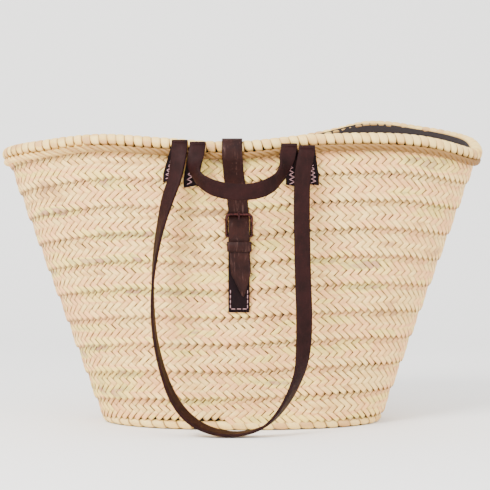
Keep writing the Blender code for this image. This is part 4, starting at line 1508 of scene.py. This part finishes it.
    def build(self, tree: bpy.types.NodeTree) -> None:
        """Build the handle's pieces.

        Args:
            tree: Sweep tree, for the thread.
        """
        leather = self.wardrobe.get(Finish.HANDLE)
        shaded_leather = self.wardrobe.get(Finish.SHADED_LEATHER)
        name = self.route.name
        loop = add_object(name + "_strap", slab(self.loop_stations(), self.thickness), leather)
        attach(loop, self.body)
        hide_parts(name + "_loop")
        side = self.route.side.value
        ends = zip(("left", "right"), (self.route.left, self.route.right), self.route.foot_shifts,
                   self.route.tab_lengths, self.route.seam_shifts)
        for end, fold, shift, length, seam_shift in ends:
            stations = self.tab_stations(fold, shift, length)
            # the tab takes the darker copy of the leather: painted shade
            tab = add_object(f"{name}_{end}_end", slab(stations, self.thickness), shaded_leather)
            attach(tab, BODY)
            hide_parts(f"{name}_tab_{end}")
            bend = add_object(f"{name}_{end}_fold", slab(self.fold_stations(fold), self.thickness), leather)
            middle = Vector((fold[0], side * self.depth, fold[1]))
            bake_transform(bend)
            thread = self.wardrobe.get(Finish.THREAD)
            stitches = grow(f"{name}_{end}_thread", guide_mesh([self.seam(stations, seam_shift)]),
                            tree, {"Radius": self.thread_radius, "Sides": 6, "Finish": thread}, thread)
            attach(stitches, BODY)
            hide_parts(f"{name}_stitches_{end}")
        LOG.info("%s: built", name)


FRONT_LONG = HandleRoute("front_long_handle", Side.FRONT, (-0.0675, 0.3150), (0.0705, 0.3090),
                          (-0.0100, 0.0048), (0.0400, 0.0385), (-0.0030, 0.0026), (
    (-0.0692, -0.1285, 0.2950, 24), (-0.0728, -0.1310, 0.2750, 36), (-0.0795, -0.1325, 0.2550, 42),
    (-0.0862, -0.1350, 0.2290, 60), (-0.0915, -0.1365, 0.2020, 72), (-0.0952, -0.1380, 0.1700, 84),
    (-0.0956, -0.1400, 0.1350, 92), (-0.0922, -0.1430, 0.1020, 96), (-0.0838, -0.1460, 0.0680, 102),
    (-0.0722, -0.1480, 0.0400, 110), (-0.0562, -0.1490, 0.0200, 112), (-0.0350, -0.1490, 0.0078, 104),
    (-0.0090, -0.1490, 0.0034, 95), (0.0160, -0.1490, 0.0078, 86), (0.0330, -0.1490, 0.0190, 78),
    (0.0490, -0.1480, 0.0405, 66), (0.0610, -0.1460, 0.0680, 52), (0.0655, -0.1430, 0.0950, 26),
    (0.0665, -0.1400, 0.1300, 5), (0.0655, -0.1370, 0.1650, 0), (0.0647, -0.1345, 0.2050, 0),
    (0.0643, -0.1320, 0.2450, 0), (0.0655, -0.1290, 0.2800, 0)))
FRONT_SHORT = HandleRoute("front_short_handle", Side.FRONT, (-0.0480, 0.3130), (0.0510, 0.3110),
                           (-0.0070, 0.0056), (0.0445, 0.0420), (-0.0022, -0.0020), (
    (-0.0496, -0.1290, 0.3020, 8), (-0.0508, -0.1330, 0.2920, 32), (-0.0495, -0.1380, 0.2820, 58),
    (-0.0440, -0.1430, 0.2735, 50), (-0.0320, -0.1480, 0.2660, 28), (-0.0170, -0.1510, 0.2617, 8),
    (0.0000, -0.1520, 0.2603, 0), (0.0170, -0.1505, 0.2625, 8), (0.0300, -0.1470, 0.2680, 30),
    (0.0390, -0.1420, 0.2760, 55), (0.0450, -0.1360, 0.2870, 52), (0.0485, -0.1300, 0.2990, 20)))
REAR_LONG = HandleRoute("rear_long_handle", Side.REAR, (-0.0690, 0.3190), (0.0730, 0.3390),
                         (-0.0050, 0.0050), (0.0400, 0.0400), half_spread=0.082, bottom=0.0070)
REAR_SHORT = HandleRoute("rear_short_handle", Side.REAR, (-0.0495, 0.3220), (0.0530, 0.3360),
                          (-0.0050, 0.0050), (0.0400, 0.0400), half_spread=0.0485, bottom=0.2660)


class Seam(NamedTuple):
    """A seam down a strap's edge, across it and up the other edge.

    Attributes:
        x: Middle of the strap.
        half: Distance of the side rows from the middle.
        low: Height of the cross row.
        high: Height of the side rows' tops.
    """

    x: float
    half: float
    low: float
    high: float


@dataclass
class Closure:
    """The closure strap over the mouth, and the buckle that holds its tip."""

    form: BasketForm
    wardrobe: Wardrobe
    x: float = -0.0033
    width: float = 0.0224
    lower_width: float = 0.0234
    thickness: float = 0.002
    lower_end: float = 0.1310
    wire_radius: float = 0.0016
    span: float = 0.0276
    corner: float = 0.0042
    heel: tuple[float, float] = (0.0042, 0.2143)
    far: tuple[float, float] = (0.0046, 0.2380)
    prong_radius: float = 0.0011
    prong_eye: float = 0.0031
    keeper_z: float = 0.2026
    keeper_height: float = 0.0110
    keeper_width: float = 0.0262
    keeper_depths: tuple[float, float] = (0.0030, 0.0098)
    keeper_thickness: float = 0.0012
    keeper_corner: float = 0.0014
    keeper_shift: float = 0.0004
    lower_depth: float = 0.0038
    lower_seam: Seam = Seam(-0.0033, 0.0094, 0.1345, 0.1560)
    rear_depth: float = 0.0026
    rear_seam: Seam = Seam(-0.0120, 0.0084, 0.2640, 0.2830)
    stitch_pitch: float = 0.0058
    thread_radius: float = 0.00042

    def front(self, x: float, out: float, z: float, share: float = 1.0) -> tuple:
        """Return a row on the front wall: X, Y, Z and the share of the full width."""
        return (x, -(self.form.wall_depth(z) + out), z, share)

    def strap_rows(self) -> list[tuple]:
        """List the closure strap's rows, from its sewn end behind to its tip in front."""
        rear = [(-0.0120, self.form.wall_depth(z) + out, z, 1.0) for z, out in (
            (0.2600, 0.0022), (0.2720, 0.0024), (0.2860, 0.0030), (0.2990, 0.0076),
            (0.3100, 0.0098), (0.3200, 0.0094), (0.3290, 0.0068))]
        over = [(-0.0120, 0.1130, 0.3345, 1.0), (-0.0120, 0.1050, 0.3350, 1.0),
                (-0.0118, 0.0900, 0.3320, 1.0), (-0.0115, 0.0600, 0.3270, 1.0),
                (-0.0112, 0.0200, 0.3225, 1.0), (-0.0110, -0.0300, 0.3195, 1.0),
                (-0.0108, -0.0800, 0.3188, 1.0), (-0.0108, -0.0970, 0.3197, 1.0),
                (-0.0108, -0.1070, 0.3205, 1.0)]
        front = [self.front(*row) for row in (
            (-0.0108, 0.0032, 0.3186), (-0.0108, 0.0076, 0.3120), (-0.0108, 0.0095, 0.3050),
            (-0.0104, 0.0094, 0.2985), (-0.0098, 0.0060, 0.2900), (-0.0088, 0.0034, 0.2800),
            (-0.0070, 0.0026, 0.2660), (-0.0050, 0.0022, 0.2530), (-0.0037, 0.0018, 0.2388),
            (-0.0036, 0.0028, 0.2358), (-0.0035, 0.0069, 0.2316), (-0.0034, 0.0086, 0.2266),
            (-0.0034, 0.0094, 0.2220), (-0.0033, 0.0096, 0.2150), (-0.0033, 0.0092, 0.2115),
            (-0.0032, 0.0079, 0.2078), (-0.0030, 0.0076, 0.2034), (-0.0026, 0.0076, 0.1960),
            (-0.0018, 0.0070, 0.1830), (-0.0010, 0.0066, 0.1745, 0.97),
            (-0.0004, 0.0064, 0.1700, 0.84), (0.0003, 0.0062, 0.1620, 0.58),
            (0.0010, 0.0059, 0.1530, 0.28), (0.0013, 0.0058, 0.1490, 0.10),
            (0.0014, 0.0058, 0.1478, 0.03))]
        return rear + over + front

    def lower_rows(self) -> list[tuple]:
        """List the buckle strap's rows: up behind the heel bar, over it and down in front."""
        out, height = self.heel
        radius = self.wire_radius + 0.0003 + self.thickness / 2
        rows = [(0.0016, self.lower_end), (0.0016, 0.1600), (0.0014, 0.1950), (0.0013, height)]
        for step in range(1, 6):
            turn = math.pi * step / 6
            rows.append((out - radius * math.cos(turn), height + radius * math.sin(turn)))
        rows += [(out + radius, height), (0.0066, 0.2122), (0.0057, 0.2100), (0.0053, 0.2080),
                 (0.0053, 0.1960), (0.0043, 0.1860), (self.lower_depth, 0.1620),
                 (self.lower_depth, 0.1335)]
        rows = [self.front(self.x, *row) for row in rows]
        tip = self.front(self.x, self.lower_depth, self.lower_end, 0.93)
        return rows + [tip]

    def stations(self, rows: Sequence[tuple], width: float, steps: int = 5) -> list[Station]:
        """Turn rows into strap stations.

        Args:
            rows: X, Y, Z and width share.
            width: Full width.
            steps: Steps in each span.

        Returns:
            The stations.
        """
        line = smooth_line(rows, steps)
        spots = [Vector(row[:3]) for row in line]
        found = []
        for i, row in enumerate(line):
            run = (spots[min(i + 1, len(line) - 1)] - spots[max(i - 1, 0)]).normalized()
            across = Vector((1.0, 0.0, 0.0))
            across = (across - run * across.dot(run)).normalized()
            found.append((spots[i], across * width / 2 * float(row[3])))
        return found

    def keeper_mesh(self) -> bpy.types.Mesh:
        """Build the keeper: a flat leather ring round the strap."""
        inner, outer = self.keeper_depths
        half, corner = self.keeper_width / 2, self.keeper_corner
        depth = self.form.wall_depth(self.keeper_z)
        ring = []
        for cx, cy, start in ((half, outer, 0), (-half, outer, 90), (-half, inner, 180),
                              (half, inner, 270)):
            sx = cx - math.copysign(corner, cx)
            sy = cy - corner if cy == outer else cy + corner
            for step in range(4):
                turn = math.radians(start + 30 * step)
                ring.append((sx + corner * math.cos(turn), sy + corner * math.sin(turn)))
        points, faces, uvs = [], [], []
        count = len(ring)
        thin = self.keeper_thickness / 2
        profile = ((-0.5, 0.0), (-0.46, thin), (0.46, thin), (0.5, 0.0), (0.46, -thin), (-0.46, -thin))
        middle = (inner + outer) / 2
        for x, out in ring:
            away = Vector((x * 0.2, out - middle, 0.0)).normalized()
            for z, lift in profile:
                points.append(Vector((self.x + self.keeper_shift + x + away.x * lift,
                                      -(depth + out + away.y * lift),
                                      self.keeper_z + z * self.keeper_height)))
                uvs.append((z * self.keeper_height, x))
        size = len(profile)
        for i in range(count):
            for k in range(size):
                a, b = i * size, (i + 1) % count * size
                faces.append((a + k, b + k, b + (k + 1) % size, a + (k + 1) % size))
        mesh = mesh_from(points, faces, uvs)
        face_outward(mesh)
        return mesh

    def frame_line(self) -> list[Vector]:
        """Lay the buckle frame's closed line: a rectangle with rounded corners."""
        heel, up, rise = self.heel_frame()
        half = self.span / 2
        line = []
        for x, level, start in ((half, 0, 0), (half, rise, 90), (-half, rise, 180), (-half, 0, 270)):
            radius = 0.0020 if level == 0 else self.corner
            cx = x - math.copysign(radius, x)
            cz = level + (radius if level == 0 else -radius)
            for step in range(7):
                turn = math.radians(start - 90 + 15 * step)
                line.append(heel + Vector((cx + radius * math.cos(turn), 0.0, 0.0))
                            + up * (cz + radius * math.sin(turn)))
        return line

    def heel_frame(self) -> tuple[Vector, Vector, float]:
        """Return the heel bar's middle, the way up to the far bar, and the distance."""
        heel = Vector((self.x, -(self.form.wall_depth(self.heel[1]) + self.heel[0]), self.heel[1]))
        far = Vector((self.x, -(self.form.wall_depth(self.far[1]) + self.far[0]), self.far[1]))
        return heel, (far - heel).normalized(), (far - heel).length

    def prong_line(self) -> list[Vector]:
        """Lay the prong's line: an eye round the heel bar and a shaft that rests on the far bar."""
        heel, _, _ = self.heel_frame()
        eye = [heel + Vector((0.0, -math.cos(a), math.sin(a))) * self.prong_eye
               for a in (math.radians(-160 + 215 * k / 10) for k in range(11))]
        tip = self.far[0] + self.wire_radius + self.prong_radius + 0.0002
        shaft = [(0.0056, 0.2236), (0.0064, 0.2300), (tip - 0.0005, 0.2351), (tip, 0.2380),
                 (tip - 0.0003, 0.2396), (tip - 0.0008, 0.2406)]
        return eye + [Vector((self.x, -(self.form.wall_depth(z) + out), z)) for out, z in shaft]

    def edge_stitches(self, seam: Seam, strap_depth: float, side: int) -> list[list[Vector]]:
        """Lay running stitches along a seam.

        Args:
            seam: The seam.
            strap_depth: Distance of the strap's middle from the wall.
            side: Sign of Y.

        Returns:
            One line for each stitch.
        """
        x, half, low, high = seam
        face = self.thickness / 2
        corners = [(x - half, high), (x - half, low), (x + half, low), (x + half, high)]
        stitches = []
        for (x0, z0), (x1, z1) in zip(corners, corners[1:]):
            length = math.hypot(x1 - x0, z1 - z0)
            count = max(2, round(length / self.stitch_pitch))
            for k in range(count):
                line = []
                for step in range(5):
                    share = (k + 0.18 + 0.64 * step / 4) / count
                    px, pz = x0 + (x1 - x0) * share, z0 + (z1 - z0) * share
                    lift = self.thread_radius * (1.1 * math.sin(math.pi * step / 4) - 0.5)
                    out = self.form.wall_depth(pz) + strap_depth + face
                    line.append(Vector((px, side * (out + lift), pz)))
                stitches.append(line)
        return stitches

    def build(self, tree: bpy.types.NodeTree) -> None:
        """Build the straps, keeper, stitches and buckle.

        Args:
            tree: Sweep tree, for wire and thread.
        """
        strap = self.wardrobe.get(Finish.STRAP)
        upper = add_object("closure_leather", slab(self.stations(self.strap_rows(), self.width),
                                                   self.thickness), strap)
        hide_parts("closure_strap")
        # the buckle strap takes the darker copy of the leather: painted shade
        lower = add_object("buckle_leather", slab(self.stations(self.lower_rows(), self.lower_width, 3),
                                                  self.thickness), self.wardrobe.get(Finish.SHADED_LEATHER))
        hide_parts("buckle_strap")
        keeper = add_object("keeper_leather", self.keeper_mesh(), strap)
        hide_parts("keeper_loop")
        for item in (upper, lower, keeper):
            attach(item, BODY)
        wire = self.wardrobe.get(Finish.WIRE)
        frame_piece = grow("buckle_wire", guide_mesh([self.frame_line()], closed=True), tree,
                           {"Radius": self.wire_radius, "Sides": 14, "Finish": wire}, wire)
        prong = grow("prong_wire", guide_mesh([self.prong_line()]), tree,
                     {"Radius": self.prong_radius, "Sides": 12, "Finish": wire}, wire)
        for item, body in ((frame_piece, "buckle_frame"), (prong, "buckle_prong")):
            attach(item, body)
            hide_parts(body)
        thread = self.wardrobe.get(Finish.THREAD)
        lower_lines = self.edge_stitches(self.lower_seam, self.lower_depth, -1)
        rear_lines = self.edge_stitches(self.rear_seam, self.rear_depth, 1)
        for name, lines, node in (("buckle_strap_thread", lower_lines, "buckle_strap_stitches"),
                                  ("anchor_thread", rear_lines, "closure_anchor_stitches")):
            piece = grow(name, guide_mesh(lines), tree,
                         {"Radius": self.thread_radius, "Sides": 6, "Finish": thread}, thread)
            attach(piece, BODY)
            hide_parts(node)
        LOG.info("closure: built")


@dataclass
class Studio:
    """Floor, lights and camera."""

    camera_distance: float = 1.5
    camera_height: float = 0.198
    focal_length: float = 93.4
    shift: tuple[float, float] = (0.0061, 0.0122)
    surround_strength: float = 2.0
    lamp_aim: tuple[float, float, float] = (0.0, 0.0, 0.16)
    floor_start: float = -2.5
    floor_bend: float = 1.2
    floor_radius: float = 0.8
    floor_half_width: float = 4.0
    floor_top: float = 3.5

    def build(self) -> None:
        """Set up the studio."""
        self.add_floor()
        self.add_lights()
        self.add_camera()

    def add_floor(self) -> None:
        """Add the pale floor, which curves up behind the basket."""
        bend, radius, half = self.floor_bend, self.floor_radius, self.floor_half_width
        profile = [(self.floor_start, 0.0), (bend, 0.0)]
        profile += [(bend + radius * math.sin(a), radius - radius * math.cos(a))
                    for a in (math.radians(d) for d in range(10, 91, 10))]
        profile.append((bend + radius, self.floor_top))
        points, faces = [], []
        for y, z in profile:
            points += [Vector((-half, y, z)), Vector((half, y, z))]
        for i in range(len(profile) - 1):
            a = 2 * i
            faces.append((a, a + 1, a + 3, a + 2))
        material, _, shader = new_material("pale_floor")
        shader.inputs["Base Color"].default_value = srgb("#f4f3f1")
        shader.inputs["Roughness"].default_value = 0.9
        add_object("studio_floor", mesh_from(points, faces), material)

    def add_lights(self) -> None:
        """Add the soft lights and the white surround."""
        world = bpy.data.worlds.new("studio")
        world.use_nodes = True
        background = world.node_tree.nodes["Background"]
        background.inputs["Color"].default_value = srgb("#ffffff")
        background.inputs["Strength"].default_value = self.surround_strength
        bpy.context.scene.world = world
        for name, place, power, size in (("key", (-1.1, -1.6, 1.7), 95.0, 0.9),
                                         ("fill", (1.5, -1.4, 1.0), 20.0, 1.4)):
            light = bpy.data.lights.new(name, "AREA")
            light.energy = power
            light.size = size
            lamp = bpy.data.objects.new(name, light)
            lamp.location = place
            aim = Vector(self.lamp_aim) - Vector(place)
            lamp.rotation_euler = aim.to_track_quat("-Z", "Y").to_euler()
            bpy.context.scene.collection.objects.link(lamp)

    def add_camera(self) -> None:
        """Add the camera, level and square to the front."""
        data = bpy.data.cameras.new("camera")
        data.lens = self.focal_length
        data.sensor_width = 36.0
        data.shift_x, data.shift_y = self.shift
        camera = bpy.data.objects.new("camera", data)
        camera.location = (0.0, -self.camera_distance, self.camera_height)
        camera.rotation_euler = (math.radians(90), 0.0, 0.0)
        bpy.context.scene.collection.objects.link(camera)
        bpy.context.scene.camera = camera


def main() -> None:
    """Build every piece of the basket and set up the studio."""
    logging.basicConfig(level=logging.INFO, format="%(message)s")
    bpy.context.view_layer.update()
    form = BasketForm()
    wardrobe = Wardrobe()
    Studio().build()
    braid = Braid(form, wardrobe)
    braid.build()
    BaseBraid(form, wardrobe, braid).build()
    Bands(form, wardrobe).build()
    sweep = sweep_tree()
    Rope(form, wardrobe).build(sweep)
    Lining(form, wardrobe).build()
    for route in (FRONT_LONG, FRONT_SHORT, REAR_LONG, REAR_SHORT):
        Handle(form, wardrobe, route).build(sweep)
    Closure(form, wardrobe).build(sweep)


if __name__ == "__main__":
    main()
